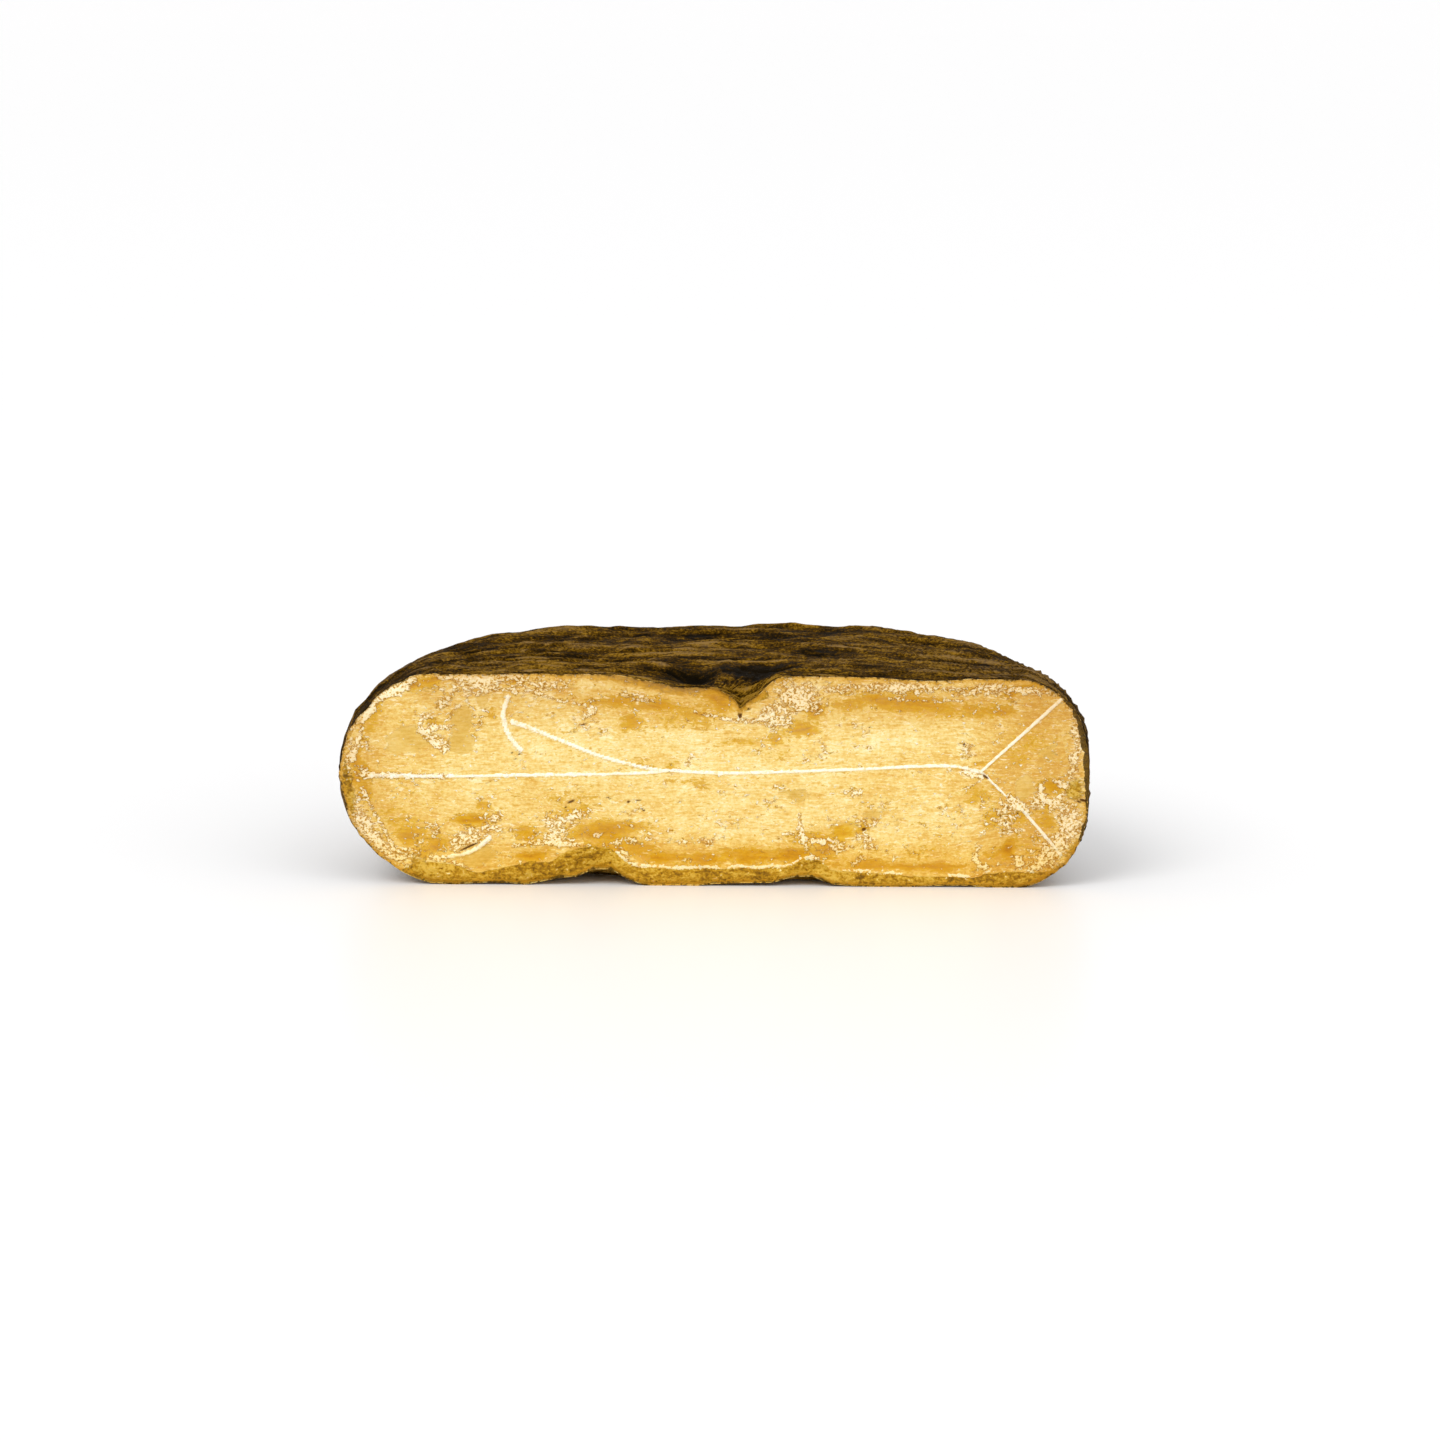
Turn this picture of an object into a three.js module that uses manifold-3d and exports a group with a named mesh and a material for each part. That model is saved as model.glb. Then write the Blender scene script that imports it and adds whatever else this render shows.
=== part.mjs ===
// Half of an aged pulled-curd cheese wheel, lying on its flat underside with
// its rind on. Millimetres, +Z up. The cut face is upright and looks along -Y,
// and the closing dimple of the kneaded curd lies on the cut, at the top.
// The origin is the middle of the half's box, on the surface it rests on.
import * as THREE from 'three';
import { mergeVertices } from 'three/addons/utils/BufferGeometryUtils.js';
import Module from 'manifold-3d';

const wasm = await Module();
wasm.setup();

// Driving dimensions of the whole wheel, in millimetres. Left and right are as
// seen by someone who looks at the cut face.
const WHEEL_DIAMETER = 300;
const WHEEL_HEIGHT = 85.2;
const RIM_SWELL = 2.4;

// How much more the left end of the cut stands than the right end, and how far
// in front of the wheel's axis the knife went down.
const LEAN = 1.8;
const CUT_OFFSET = 14;

// Radii of the rounded upper and lower edges of the rim, at the two ends of
// the cut and at the back.
const UPPER_EDGE = { left: 37, back: 17, right: 26 };
const LOWER_EDGE = { left: 43, back: 34, right: 29 };

// The dimple where the curd was closed: a wide dip, and a pit within it.
const NAVEL_DIP = { x: -16, width: 47, reach: 58, depth: 7 };
const NAVEL_PIT = { x: 12.5, width: 17, reach: 24, depth: 10 };

// How the top and the rim wander from a true wheel: the size of each wave, its
// length along X or its count around the rim, and where it starts, in radians.
const TOP_WAVE = { size: 1.5, length: 170, start: -1.1 };
const RIM_WAVE = { size: 1.2, count: 3, start: -0.8 };

// How far the rim stands out between its sides and its back, where the mould
// was squarer than round.
const RIM_SQUARENESS = 3.5;

// The least upright stretch of rim between its two rounded edges.
const LEAST_UPRIGHT = 3;

// Hollows under the front edge, where the curd lifted off its shelf: the
// middle of each, its whole width along the cut, its height and its reach in.
const HOLLOWS = [
  { x: -51, width: 40, height: 3.4, reach: 22 },
  { x: 41, width: 14, height: 2.6, reach: 9 },
];

// Fineness of the surface.
const AROUND = 112;
const TOP_RINGS = 17;
const EDGE_STEPS = 9;
const RIM_STEPS = 5;
const HOLLOW_SIDES = 20;
const MERGE_DISTANCE = 1e-4;

const RIND = { color: 0x6c4c18, roughness: 0.72, metalness: 0 };

// A hump that is 1 at its middle and falls smoothly to 0 at a distance of 1.
const hump = (distance) => (1 - Math.min(distance, 1) ** 2) ** 2;

// One of three radii, blended around the rim by the direction's cosine.
function around(radii, angle) {
  const side = Math.cos(angle);
  const end = side > 0 ? radii.right : radii.left;
  return radii.back + (end - radii.back) * side * side;
}

// How deep one dent of the dimple is at a place: an oval hump, upside down.
function dent(navel, x, y) {
  const along = (x - navel.x) / navel.width;
  const inward = (y + CUT_OFFSET) / navel.reach;
  return navel.depth * hump(Math.hypot(along, inward));
}

// The height of the top above one place.
function topHeight(x, y) {
  const level = WHEEL_HEIGHT - LEAN * x / WHEEL_DIAMETER;
  const inward = THREE.MathUtils.clamp(2 * (y + CUT_OFFSET) / WHEEL_DIAMETER, 0, 1);
  const wave = TOP_WAVE.size * Math.sin(2 * Math.PI * x / TOP_WAVE.length + TOP_WAVE.start);
  return level + inward * wave - dent(NAVEL_DIP, x, y) - dent(NAVEL_PIT, x, y);
}

// How far the upright part of the rim is from the axis in one direction.
function rimRadius(angle) {
  const wave = RIM_WAVE.size * Math.sin(RIM_WAVE.count * angle + RIM_WAVE.start);
  const square = RIM_SQUARENESS * Math.sin(2 * angle) ** 2;
  return WHEEL_DIAMETER / 2 - RIM_SWELL + wave + square;
}

// How much further out the rim stands at a height: most at half way up.
const swell = (z) => RIM_SWELL * hump(Math.abs(2 * z / WHEEL_HEIGHT - 1));

// The radii of the rim's upper and lower edges in one direction. On a low wheel
// they shrink together, so that an upright stretch is left between them.
function edgeRadii(angle) {
  const upper = around(UPPER_EDGE, angle);
  const lower = around(LOWER_EDGE, angle);
  const room = Math.min((WHEEL_HEIGHT - LEAST_UPRIGHT) / (upper + lower), 1);
  return [upper * room, lower * room];
}

// The wheel's outline in one direction, from the middle of the top, over the
// rim and back to the axis below: a flat top, a quarter turn, an upright rim,
// another quarter turn and a flat underside.
function outline(angle) {
  const radius = rimRadius(angle);
  const [upper, lower] = edgeRadii(angle);
  const upright = WHEEL_HEIGHT - upper - lower;
  const points = [];
  for (let ring = 0; ring < TOP_RINGS; ring++) {
    points.push([(radius - upper) * ring / TOP_RINGS, WHEEL_HEIGHT]);
  }
  for (let step = 0; step <= EDGE_STEPS; step++) {
    const turn = step / EDGE_STEPS * Math.PI / 2;
    const z = WHEEL_HEIGHT - upper + upper * Math.cos(turn);
    points.push([radius - upper + upper * Math.sin(turn), z]);
  }
  for (let step = 1; step < RIM_STEPS; step++) {
    points.push([radius, lower + upright * (1 - step / RIM_STEPS)]);
  }
  for (let step = 0; step <= EDGE_STEPS; step++) {
    const turn = step / EDGE_STEPS * Math.PI / 2;
    points.push([radius - lower + lower * Math.cos(turn), lower - lower * Math.sin(turn)]);
  }
  points.push([0, 0]);
  return points.map(([r, z]) => new THREE.Vector2(r + swell(z) * r / radius, z));
}

// The whole wheel: a lathe whose outline changes a little as it goes round, and
// whose heights are stretched to the top's, so that the underside stays flat.
// The columns stand half a step off the cut, so that it crosses them cleanly.
function wheelGeometry() {
  const geometry = new THREE.LatheGeometry(outline(0).reverse(), AROUND);
  const position = geometry.attributes.position;
  const ringCount = position.count / (AROUND + 1);
  for (let column = 0; column <= AROUND; column++) {
    const angle = (column % AROUND + 0.5) / AROUND * 2 * Math.PI;
    outline(angle).reverse().forEach((point, ring) => {
      const x = point.x * Math.cos(angle);
      const y = point.x * Math.sin(angle);
      const z = point.y * topHeight(x, y) / WHEEL_HEIGHT;
      position.setXYZ(column * ringCount + ring, x, y, z);
    });
  }
  return geometry;
}

// A closed geometry as a solid that can be joined and cut.
function toSolid(geometry) {
  geometry.deleteAttribute('normal');
  geometry.deleteAttribute('uv');
  const merged = mergeVertices(geometry, MERGE_DISTANCE);
  const corners = merged.index.array;
  const triVerts = [];
  for (let i = 0; i < corners.length; i += 3) {
    const [a, b, c] = corners.slice(i, i + 3);
    if (a !== b && b !== c && c !== a) triVerts.push(a, b, c);
  }
  const vertProperties = new Float32Array(merged.attributes.position.array);
  const mesh = new wasm.Mesh({ numProp: 3, vertProperties, triVerts: new Uint32Array(triVerts) });
  return new wasm.Manifold(mesh);
}

// A solid as a geometry again.
function toGeometry(solid) {
  const { vertProperties, triVerts } = solid.getMesh();
  const geometry = new THREE.BufferGeometry();
  geometry.setAttribute('position', new THREE.BufferAttribute(vertProperties, 3));
  geometry.setIndex(new THREE.BufferAttribute(triVerts, 1));
  geometry.computeVertexNormals();
  return geometry;
}

// What the knife took away: everything in front of the cut.
function cutAway() {
  const size = 2 * (WHEEL_DIAMETER + WHEEL_HEIGHT);
  return toSolid(new THREE.BoxGeometry(size, size, size).translate(0, -size / 2 - CUT_OFFSET, 0));
}

// One hollow under the front edge: a flattened ball with its middle on the edge.
function hollow({ x, width, height, reach }) {
  const ball = new THREE.SphereGeometry(1, HOLLOW_SIDES, HOLLOW_SIDES / 2);
  const flattened = ball.rotateX(Math.PI / 2).scale(width / 2, reach, height);
  return toSolid(flattened.translate(x, -CUT_OFFSET, 0));
}

// The half wheel as it lies, with the middle of its box over the origin.
function halfWheel() {
  let solid = toSolid(wheelGeometry()).subtract(cutAway());
  for (const place of HOLLOWS) solid = solid.subtract(hollow(place));
  const geometry = toGeometry(solid);
  geometry.computeBoundingBox();
  const middle = geometry.boundingBox.getCenter(new THREE.Vector3());
  const mesh = new THREE.Mesh(geometry, new THREE.MeshStandardMaterial(RIND));
  mesh.name = 'half_wheel';
  mesh.position.set(-middle.x, -middle.y, -geometry.boundingBox.min.z);
  return mesh;
}

const cheese = new THREE.Group();
cheese.add(halfWheel());

export default cheese;
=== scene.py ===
"""Half of an aged pulled-curd cheese wheel, as it lies with its cut face upright.

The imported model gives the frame: its box, its one body and its one finish. The
cheese is one natural piece, so one closed mesh stands for the whole of it. The
rind is a fan of outlines that turn about a hub on the cut, and the cut face is
a set of rings around the long seam of the folded curd. Shapes are worked out
in millimetres and become metres when the mesh is made.
"""

import logging
from collections.abc import Callable
from dataclasses import dataclass, field
from enum import Enum

import bpy
import numpy as np
from mathutils import Euler, Matrix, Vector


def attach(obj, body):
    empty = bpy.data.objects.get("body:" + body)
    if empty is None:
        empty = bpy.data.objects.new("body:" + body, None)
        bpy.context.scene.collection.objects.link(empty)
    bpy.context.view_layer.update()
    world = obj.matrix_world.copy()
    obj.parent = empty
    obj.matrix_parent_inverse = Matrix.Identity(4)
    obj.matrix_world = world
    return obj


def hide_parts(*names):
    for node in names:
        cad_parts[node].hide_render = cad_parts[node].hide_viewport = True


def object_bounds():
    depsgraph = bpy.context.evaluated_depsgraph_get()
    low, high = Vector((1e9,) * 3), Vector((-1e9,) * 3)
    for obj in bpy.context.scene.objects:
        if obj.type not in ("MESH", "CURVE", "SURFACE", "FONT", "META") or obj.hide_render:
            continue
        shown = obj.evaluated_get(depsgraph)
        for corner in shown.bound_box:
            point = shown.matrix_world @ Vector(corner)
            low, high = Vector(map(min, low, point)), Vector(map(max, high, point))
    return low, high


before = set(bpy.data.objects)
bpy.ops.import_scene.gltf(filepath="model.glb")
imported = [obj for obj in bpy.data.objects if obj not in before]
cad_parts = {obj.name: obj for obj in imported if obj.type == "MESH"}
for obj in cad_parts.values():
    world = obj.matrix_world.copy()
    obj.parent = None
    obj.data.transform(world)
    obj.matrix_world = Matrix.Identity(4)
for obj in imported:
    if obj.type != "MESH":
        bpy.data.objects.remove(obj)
CAD_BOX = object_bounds()

Array = np.ndarray
Colour = tuple[float, float, float]
Stops = tuple[tuple[float, Colour], ...]

LOG = logging.getLogger("cheese")
NODE = "half_wheel"
BODY = "root"
METRES = 0.001
BAKE_MAP = "OFBake"


class Skin(Enum):
    """The two surfaces of the cheese, in the order of the mesh's materials."""

    RIND = 0
    PASTE = 1


class Mark(Enum):
    """What a patch on the cut face is made of, or what it does to the tone."""

    CRUST = "crust"
    AMBER = "amber"
    CLEAR = "clear"
    OLIVE = "olive"
    PALE_AND_SHADE = "pale"


# Plain shaping functions -------------------------------------


def hump(distance: Array) -> Array:
    """1 at no distance, falling smoothly to 0 at a distance of 1.

    Args:
        distance: how far from the middle, in units of the hump's reach.

    Returns:
        The square of one minus the square of the distance.
    """
    return (1 - np.clip(np.abs(distance), 0, 1) ** 2) ** 2


def step(low: float, high: float, value: Array) -> Array:
    """A smooth step from 0 at low to 1 at high, level at both of its ends."""
    part = np.clip((value - low) / (high - low), 0, 1)
    return part * part * (3 - 2 * part)


class Noise:
    """Smooth random values in space, which are the same on every run."""

    PRIMES = np.array([73856093, 19349663, 83492791])
    KNIT = 1274126177
    WORD = 0x7FFFFFFF
    REACH = 1.6
    ROUNDING = 0.07

    def __init__(self, seed: int) -> None:
        """Draws the table of slopes.

        Args:
            seed: which table is drawn. The same seed gives the same noise.
        """
        draws = np.random.default_rng(seed)
        slopes = draws.normal(size=(256, 3))
        self.slopes = slopes / np.linalg.norm(slopes, axis=1)[:, None]
        self.shift = draws.uniform(0, 100, 3)

    def smooth(self, places: Array) -> Array:
        """Gradient noise: at each corner of the unit cell around a place, a
        random slope times the way from that corner, blended over the cell.

        Args:
            places: any number of places, three numbers each.

        Returns:
            One number for each place, about -1 to 1.
        """
        places = places + self.shift
        whole = np.floor(places).astype(np.int64)
        part = places - whole
        ease = part**3 * (part * (part * 6 - 15) + 10)
        total = np.zeros(places.shape[:-1])
        for corner in np.ndindex(2, 2, 2):
            mixed = np.bitwise_xor.reduce((whole + corner) * self.PRIMES, axis=-1)
            mixed = ((mixed ^ (mixed >> 13)) & self.WORD) * self.KNIT
            slope = self.slopes[(mixed >> 17) & 255]
            share = np.where(corner, ease, 1 - ease).prod(axis=-1)
            total += share * ((part - corner) * slope).sum(axis=-1)
        return total * self.REACH

    def _octaves(self, places: Array, octaves: int, gain: float, shift: float,
                 shape: Callable[[Array], Array]) -> Array:
        """The mean of octaves of shaped noise, each twice as fine as the one
        before.

        Args:
            places: any number of places, three numbers each.
            octaves: how many octaves there are.
            gain: how strong each octave is, as a share of the one before.
            shift: how far each octave is moved, so that they don't line up.
            shape: what is done to each octave's noise before the sum.

        Returns:
            One number for each place.
        """
        strengths = gain ** np.arange(octaves)
        total = 0.0
        for octave, strength in enumerate(strengths):
            total = total + strength * shape(self.smooth(places * 2**octave + shift * octave))
        return total / strengths.sum()

    def fractal(self, places: Array, octaves: int = 4, gain: float = 0.5) -> Array:
        """Octaves of plain smooth noise."""
        return self._octaves(places, octaves, gain, 7.3, lambda value: value)

    def ridged(self, places: Array, octaves: int = 3, gain: float = 0.5) -> Array:
        """Octaves of crests: 1 less twice the noise's size, rounded at the top."""
        return self._octaves(places, octaves, gain, 3.1,
                             lambda value: 1 - 2 * np.hypot(value, self.ROUNDING))


def stack(*parts: Array) -> Array:
    """Coordinates side by side, as an array of places."""
    return np.stack(np.broadcast_arrays(*parts), axis=-1)


# The wheel's smooth shape ------------------------------------


@dataclass(frozen=True)
class EdgeRadii:
    """The radius of one rounded edge of the rim, at the cut's ends and behind."""

    left: float
    back: float
    right: float

    def towards(self, heading: Array) -> Array:
        """The end's radius, blended into the back's by the square of the
        direction's cosine.

        Args:
            heading: directions from the hub, 0 to the right.

        Returns:
            The radius in each direction.
        """
        side = np.cos(heading)
        end = np.where(side > 0, self.right, self.left)
        return self.back + (end - self.back) * side**2


@dataclass(frozen=True)
class Dent:
    """A soft oval dent in the top, or a pool of painted shade there, with its middle near the cut."""

    x: float
    inward: float
    width: float
    reach: float
    depth: float

    def at(self, x: Array, inward: Array) -> Array:
        """A hump over the oval distance from the dent's middle.

        Args:
            x: places along the cut.
            inward: how far behind the cut they are.

        Returns:
            The dent's depth at each place.
        """
        across = (x - self.x) / self.width
        along = (inward - self.inward) / self.reach
        return self.depth * hump(np.hypot(across, along))


@dataclass(frozen=True)
class Hollow:
    """A shallow hollow under the front edge, where the curd had lifted."""

    x: float
    width: float
    height: float
    reach: float

    def at(self, x: Array, inward: Array) -> Array:
        """Its height: the upper half of a flattened ball."""
        away = np.hypot(2 * (x - self.x) / self.width, inward / self.reach)
        return self.height * np.sqrt(np.clip(1 - away**2, 0, 1))


@dataclass(frozen=True)
class Wheel:
    """The smooth half wheel, in millimetres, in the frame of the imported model.

    The hub is the middle of the cut. A heading is an angle about the hub, from
    0 at the cut's right end to half a turn at its left end.
    """

    swell: float = 2.4
    lean: float = 1.8
    axis_inward: float = 14.0
    axis_x: float = 0.86
    top_rise: float = 1.45
    top_wave: float = 1.5
    rim_wave: float = 1.2
    shoulder: float = 3.5
    upper: EdgeRadii = EdgeRadii(37, 17, 26)
    lower: EdgeRadii = EdgeRadii(43, 34, 29)
    dents: tuple[Dent, ...] = (
        Dent(-7, 0, 36, 56, 4.8),
        Dent(12.5, 0, 14, 22, 7.2),
        Dent(10.2, 0, 3.4, 9, 3.4),
        Dent(-9, 25, 13, 20, 3.6),
        Dent(18, 31, 17, 25, 4.6),
    )
    hollows: tuple[Hollow, ...] = (
        Hollow(-50, 42, 3.6, 22),
        Hollow(-44, 18, 3.4, 12),
        Hollow(25, 62, 1.4, 16),
        Hollow(37, 20, 3.0, 10),
        Hollow(-88, 22, 1.0, 9),
        Hollow(96, 24, 0.8, 7),
    )

    @property
    def cut_y(self) -> float:
        """Where the plane of the cut is, along Y."""
        return CAD_BOX[0].y / METRES

    @property
    def half_length(self) -> float:
        """Half the length of the cut."""
        return (CAD_BOX[1].x - CAD_BOX[0].x) / METRES / 2

    @property
    def height(self) -> float:
        """The level of the top, which its wave rises over by top_rise."""
        return (CAD_BOX[1].z - CAD_BOX[0].z) / METRES - self.top_rise

    def rim_distance(self, heading: Array) -> Array:
        """How far the upright rim is from the hub.

        The rim is a circle about the axis, off a true one by three waves and
        further out between its sides and its back. It is traced about the
        axis, and read off by its heading from the hub.

        Args:
            heading: directions from the hub, 0 to the right.

        Returns:
            The rim's distance in each direction.
        """
        turn = np.linspace(-0.4, np.pi + 0.4, 900)
        radius = self.half_length - self.swell
        radius = radius + self.rim_wave * np.sin(3 * turn - 0.8)
        radius = radius + self.shoulder * np.sin(2 * turn) ** 2
        x = self.axis_x + radius * np.cos(turn)
        inward = self.axis_inward + radius * np.sin(turn)
        return np.interp(heading, np.unwrap(np.arctan2(inward, x)), np.hypot(x, inward))

    def top_level(self, x: Array, inward: Array) -> Array:
        """The height of the top: a gentle lean, a wave that grows away from
        the cut, and the dents of the navel taken off.

        Args:
            x: places along the cut.
            inward: how far behind the cut they are.

        Returns:
            The top's height at each place.
        """
        wave = self.top_wave * np.sin(2 * np.pi * x / 170 - 1.1)
        level = self.height - self.lean * x / (2 * self.half_length)
        level = level + wave * np.clip(inward / self.half_length, 0, 1)
        return level - sum(dent.at(x, inward) for dent in self.dents)

    def lift(self, x: Array, inward: Array) -> Array:
        """How far the underside is off the table."""
        return sum(hollow.at(x, inward) for hollow in self.hollows)


# The rind ----------------------------------------------------


@dataclass
class Rind:
    """Everything outside: the wrinkled top, the rim and the underside.

    The navel is given by its place across and inward from the cut's middle,
    and by how far its pleats reach.
    """

    wheel: Wheel
    columns: int = 196
    top_rows: int = 74
    upper_rows: int = 24
    upright_rows: int = 8
    lower_rows: int = 34
    under_rows: int = 16
    seed: int = 11
    arc_margin: float = 16.0
    arc_offset: float = 6.0
    wrinkle_height: float = 0.75
    pleat_height: float = 1.5
    lump_height: float = 0.9
    scar_depth: float = 0.6
    back_drop: float = 2.1
    end_swell: float = 1.1
    cut_gap: float = 0.35
    navel: tuple[float, float, float] = (6.0, 8.0, 56.0)
    # Pools of painted shade in the navel.
    navel_shade: tuple[Dent, ...] = (Dent(-9, 24, 19, 27, 1.0), Dent(18, 31, 21, 26, 1.5))
    heading: Array = field(init=False)
    rows: dict[str, Array] = field(init=False)
    places: Array = field(init=False)
    run: Array = field(init=False)
    over: Array = field(init=False)
    marks: dict[str, Array] = field(init=False)

    def __post_init__(self) -> None:
        """Works out the smooth surface, then its relief."""
        self.heading = np.linspace(0, np.pi, self.columns)[:, None]
        self.rows = self._outline_rows()
        self.places, self.run, self.over = self._smooth()
        self.marks = self._relief()

    def _outline_rows(self) -> dict[str, Array]:
        """Spaces the rows of each stretch of the outline.

        Returns:
            How far along each stretch its rows stand, 0 to 1, by its name.
        """
        counts = {
            "top": self.top_rows,
            "upper": self.upper_rows,
            "upright": self.upright_rows,
            "lower": self.lower_rows,
        }
        rows = {name: np.arange(count) / count for name, count in counts.items()}
        rows["under"] = np.linspace(0, 1, self.under_rows)
        return rows

    def _smooth(self) -> tuple[Array, Array, Array]:
        """The smooth outside: a row of places for each heading.

        Each outline runs out along the flat top, a quarter turn over the
        upper edge, down the upright rim, a quarter turn under the lower edge,
        and back to the hub. The rim then swells, and heights are stretched to
        the top's own level.

        Returns:
            The places, the length run along each outline, and the length run
            beyond the flat top.
        """
        wheel, rows = self.wheel, self.rows
        rim = wheel.rim_distance(self.heading)
        upper = wheel.upper.towards(self.heading)
        lower = wheel.lower.towards(self.heading)
        upright = wheel.height - upper - lower
        over, under = rows["upper"] * np.pi / 2, rows["lower"] * np.pi / 2
        still = np.zeros_like(self.heading)
        away = np.concatenate([
            (rim - upper) * rows["top"],
            rim - upper + upper * np.sin(over),
            rim + 0 * rows["upright"],
            rim - lower + lower * np.cos(under),
            (rim - lower) * (1 - rows["under"]),
        ], axis=1)
        z = np.concatenate([
            wheel.height + still * rows["top"],
            wheel.height - upper + upper * np.cos(over),
            lower + upright * (1 - rows["upright"]),
            lower - lower * np.sin(under),
            still * rows["under"],
        ], axis=1)
        bulge = wheel.swell * hump(2 * z / wheel.height - 1) * away / rim
        away = away + bulge
        x = away * np.cos(self.heading)
        inward = away * np.sin(self.heading)
        z = z * wheel.top_level(x, inward) / wheel.height
        places = stack(x, wheel.cut_y + inward, z)
        stride = np.linalg.norm(np.diff(places, axis=1), axis=-1)
        run = np.concatenate([still, np.cumsum(stride, axis=1)], axis=1)
        return places, run, np.clip(run - run[:, self.top_rows, None], 0, None)

    def _normals(self) -> Array:
        """The cross product of the steps to the next row and to the next
        column. At the hub's two ends the normals are straight up and down.

        Returns:
            The outward direction at each place, of length 1.
        """
        down = np.gradient(self.places, axis=1)
        onward = np.gradient(self.places, axis=0)
        normals = np.cross(down, onward)
        normals[:, 0] = (0, 0, 1)
        normals[:, -1] = (0, 0, -1)
        return normals / np.linalg.norm(normals, axis=-1, keepdims=True)

    def _contours(self) -> Array:
        """A number that is the same along each wrinkle.

        On the top it is the middle height of the circle through the place and
        two points just past the cut's ends: straight lines near the cut, and
        arcs along the rim at the back. Beyond the top, the length run over
        the rim is added.

        Returns:
            The contour that each place is on.
        """
        reach = self.wheel.half_length + self.arc_margin
        on_top = np.minimum(self.run, self.run[:, self.top_rows, None])
        x = on_top * np.cos(self.heading)
        inward = on_top * np.sin(self.heading) + self.arc_offset
        middle = (x**2 + inward**2 - reach**2) / (2 * inward)
        return middle + np.sqrt(reach**2 + middle**2) + self.over

    def _wrinkles(self, across: Array) -> Array:
        """Crests of noise stretched along the contours in three finenesses,
        with a mean of 0 and a spread of 1.

        Args:
            across: the contour that each place is on.

        Returns:
            The wrinkles' height at each place.
        """
        x, y, z = np.moveaxis(self.places, -1, 0)
        broad = Noise(self.seed + 1).ridged(stack(across / 21, x / 92, y / 92), 2)
        fine = Noise(self.seed + 2).ridged(stack(across / 9, x / 40, y / 40), 2, 0.6)
        hair = Noise(self.seed + 3).ridged(stack(across / 4.4, x / 17, (y + z) / 17), 1)
        wrinkles = 1.5 * broad + 1.1 * fine + 0.45 * hair
        return (wrinkles - wrinkles.mean()) / wrinkles.std()

    def _pleats(self, x: Array, inward: Array) -> tuple[Array, Array]:
        """The pleats that run out from the navel: crests of noise that follow
        the bearing from its middle, and change slowly with the distance.

        Args:
            x: places along the cut.
            inward: how far behind the cut they are.

        Returns:
            The pleats' height, and how near the navel each place is, 0 to 1.
        """
        aside, behind = x - self.navel[0], inward - self.navel[1]
        distance = np.hypot(aside, 1.15 * behind)
        bearing = np.arctan2(behind, aside)
        round_navel = stack(5 * np.cos(bearing), 5 * np.sin(bearing), distance / 24)
        pleats = Noise(self.seed + 6).ridged(round_navel, 3, 0.6)
        return pleats, hump(distance / self.navel[2])

    def _relief(self) -> dict[str, Array]:
        """Wrinkles, pleats, lumps and scars, carried out along the normals.

        They are weak next to the cut, where the knife pressed them flat. The
        underside keeps only shallow marks and stays on the table.

        Returns:
            The masks that the rind's finish reads.
        """
        wheel = self.wheel
        x, y, z = np.moveaxis(self.places, -1, 0)
        inward = y - wheel.cut_y
        top = z > wheel.height / 2
        bends = Noise(self.seed).fractal(self.places / 55, 2)
        across = self._contours() + 6.0 * bends
        wrinkles = self._wrinkles(across)
        pleats, near = self._pleats(x, inward)
        near = near * top
        lumps = Noise(self.seed + 4).fractal(self.places / 22, 3)
        scars = Noise(self.seed + 5).ridged(self.places / 19, 2)
        # Painted shade pooled in the navel's deepest dents.
        navel_shade = sum(pool.at(x, inward) for pool in self.navel_shade)

        under = step(-0.7, -0.97, self._normals()[..., 2])
        height = self.wrinkle_height * wrinkles * (1 - 0.6 * near)
        height = height + self.pleat_height * near * (pleats - 0.3) + self.lump_height * lumps
        height = height - self.scar_depth * step(0.72, 0.95, scars) - 0.4
        height = height * (1 - under) + 0.15 * lumps * under
        height = height * (0.45 + 0.55 * step(0, 12, inward))
        height = height - self.back_drop * top * step(8, 60, inward) * (1 - near)
        ends = hump(z / wheel.height - 0.5) * np.cos(self.heading) ** 2
        height = height + self.end_swell * ends
        self.places = self.places + height[..., None] * self._normals()
        self.places[..., 2] = np.maximum(self.places[..., 2], 0)
        self._settle_under(under)
        self.places[(0, -1), :, 1] = wheel.cut_y + self.cut_gap
        self.places[:, (0, -1)] = self.places[:1, (0, -1)]
        crest = np.clip(0.5 + 0.22 * wrinkles, 0, 1)
        return {
            "crest": crest * (1 - 0.8 * near) + 0.8 * near * (0.2 + 0.75 * pleats),
            # The navel's painted shade.
            "navel": np.clip(navel_shade, 0, 1.25) * top,
            "pleat": near * (pleats - 0.35),
            "under": under,
            "across": across,
        }

    def _settle_under(self, under: Array) -> None:
        """Lifts the underside over its hollows and shallow marks.

        Args:
            under: how far each place belongs to the underside, 0 to 1.
        """
        x, y, z = np.moveaxis(self.places, -1, 0)
        lift = self.wheel.lift(x, y - self.wheel.cut_y)
        marks = Noise(self.seed + 7).fractal(self.places / 17, 3)
        shallow = 1.2 * np.clip(marks - 0.05, 0, None) * under
        self.places[..., 2] = np.maximum(z, np.maximum(lift, shallow) * (z < 12))

    def loop(self) -> Array:
        """The rim of the cut, clockwise from the hub's upper end.

        Returns:
            The numbers of the places around the cut, in order.
        """
        count = self.places.shape[1]
        numbers = self.numbers()
        return np.concatenate([numbers[0], numbers[-1, count - 2:0:-1]])

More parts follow.
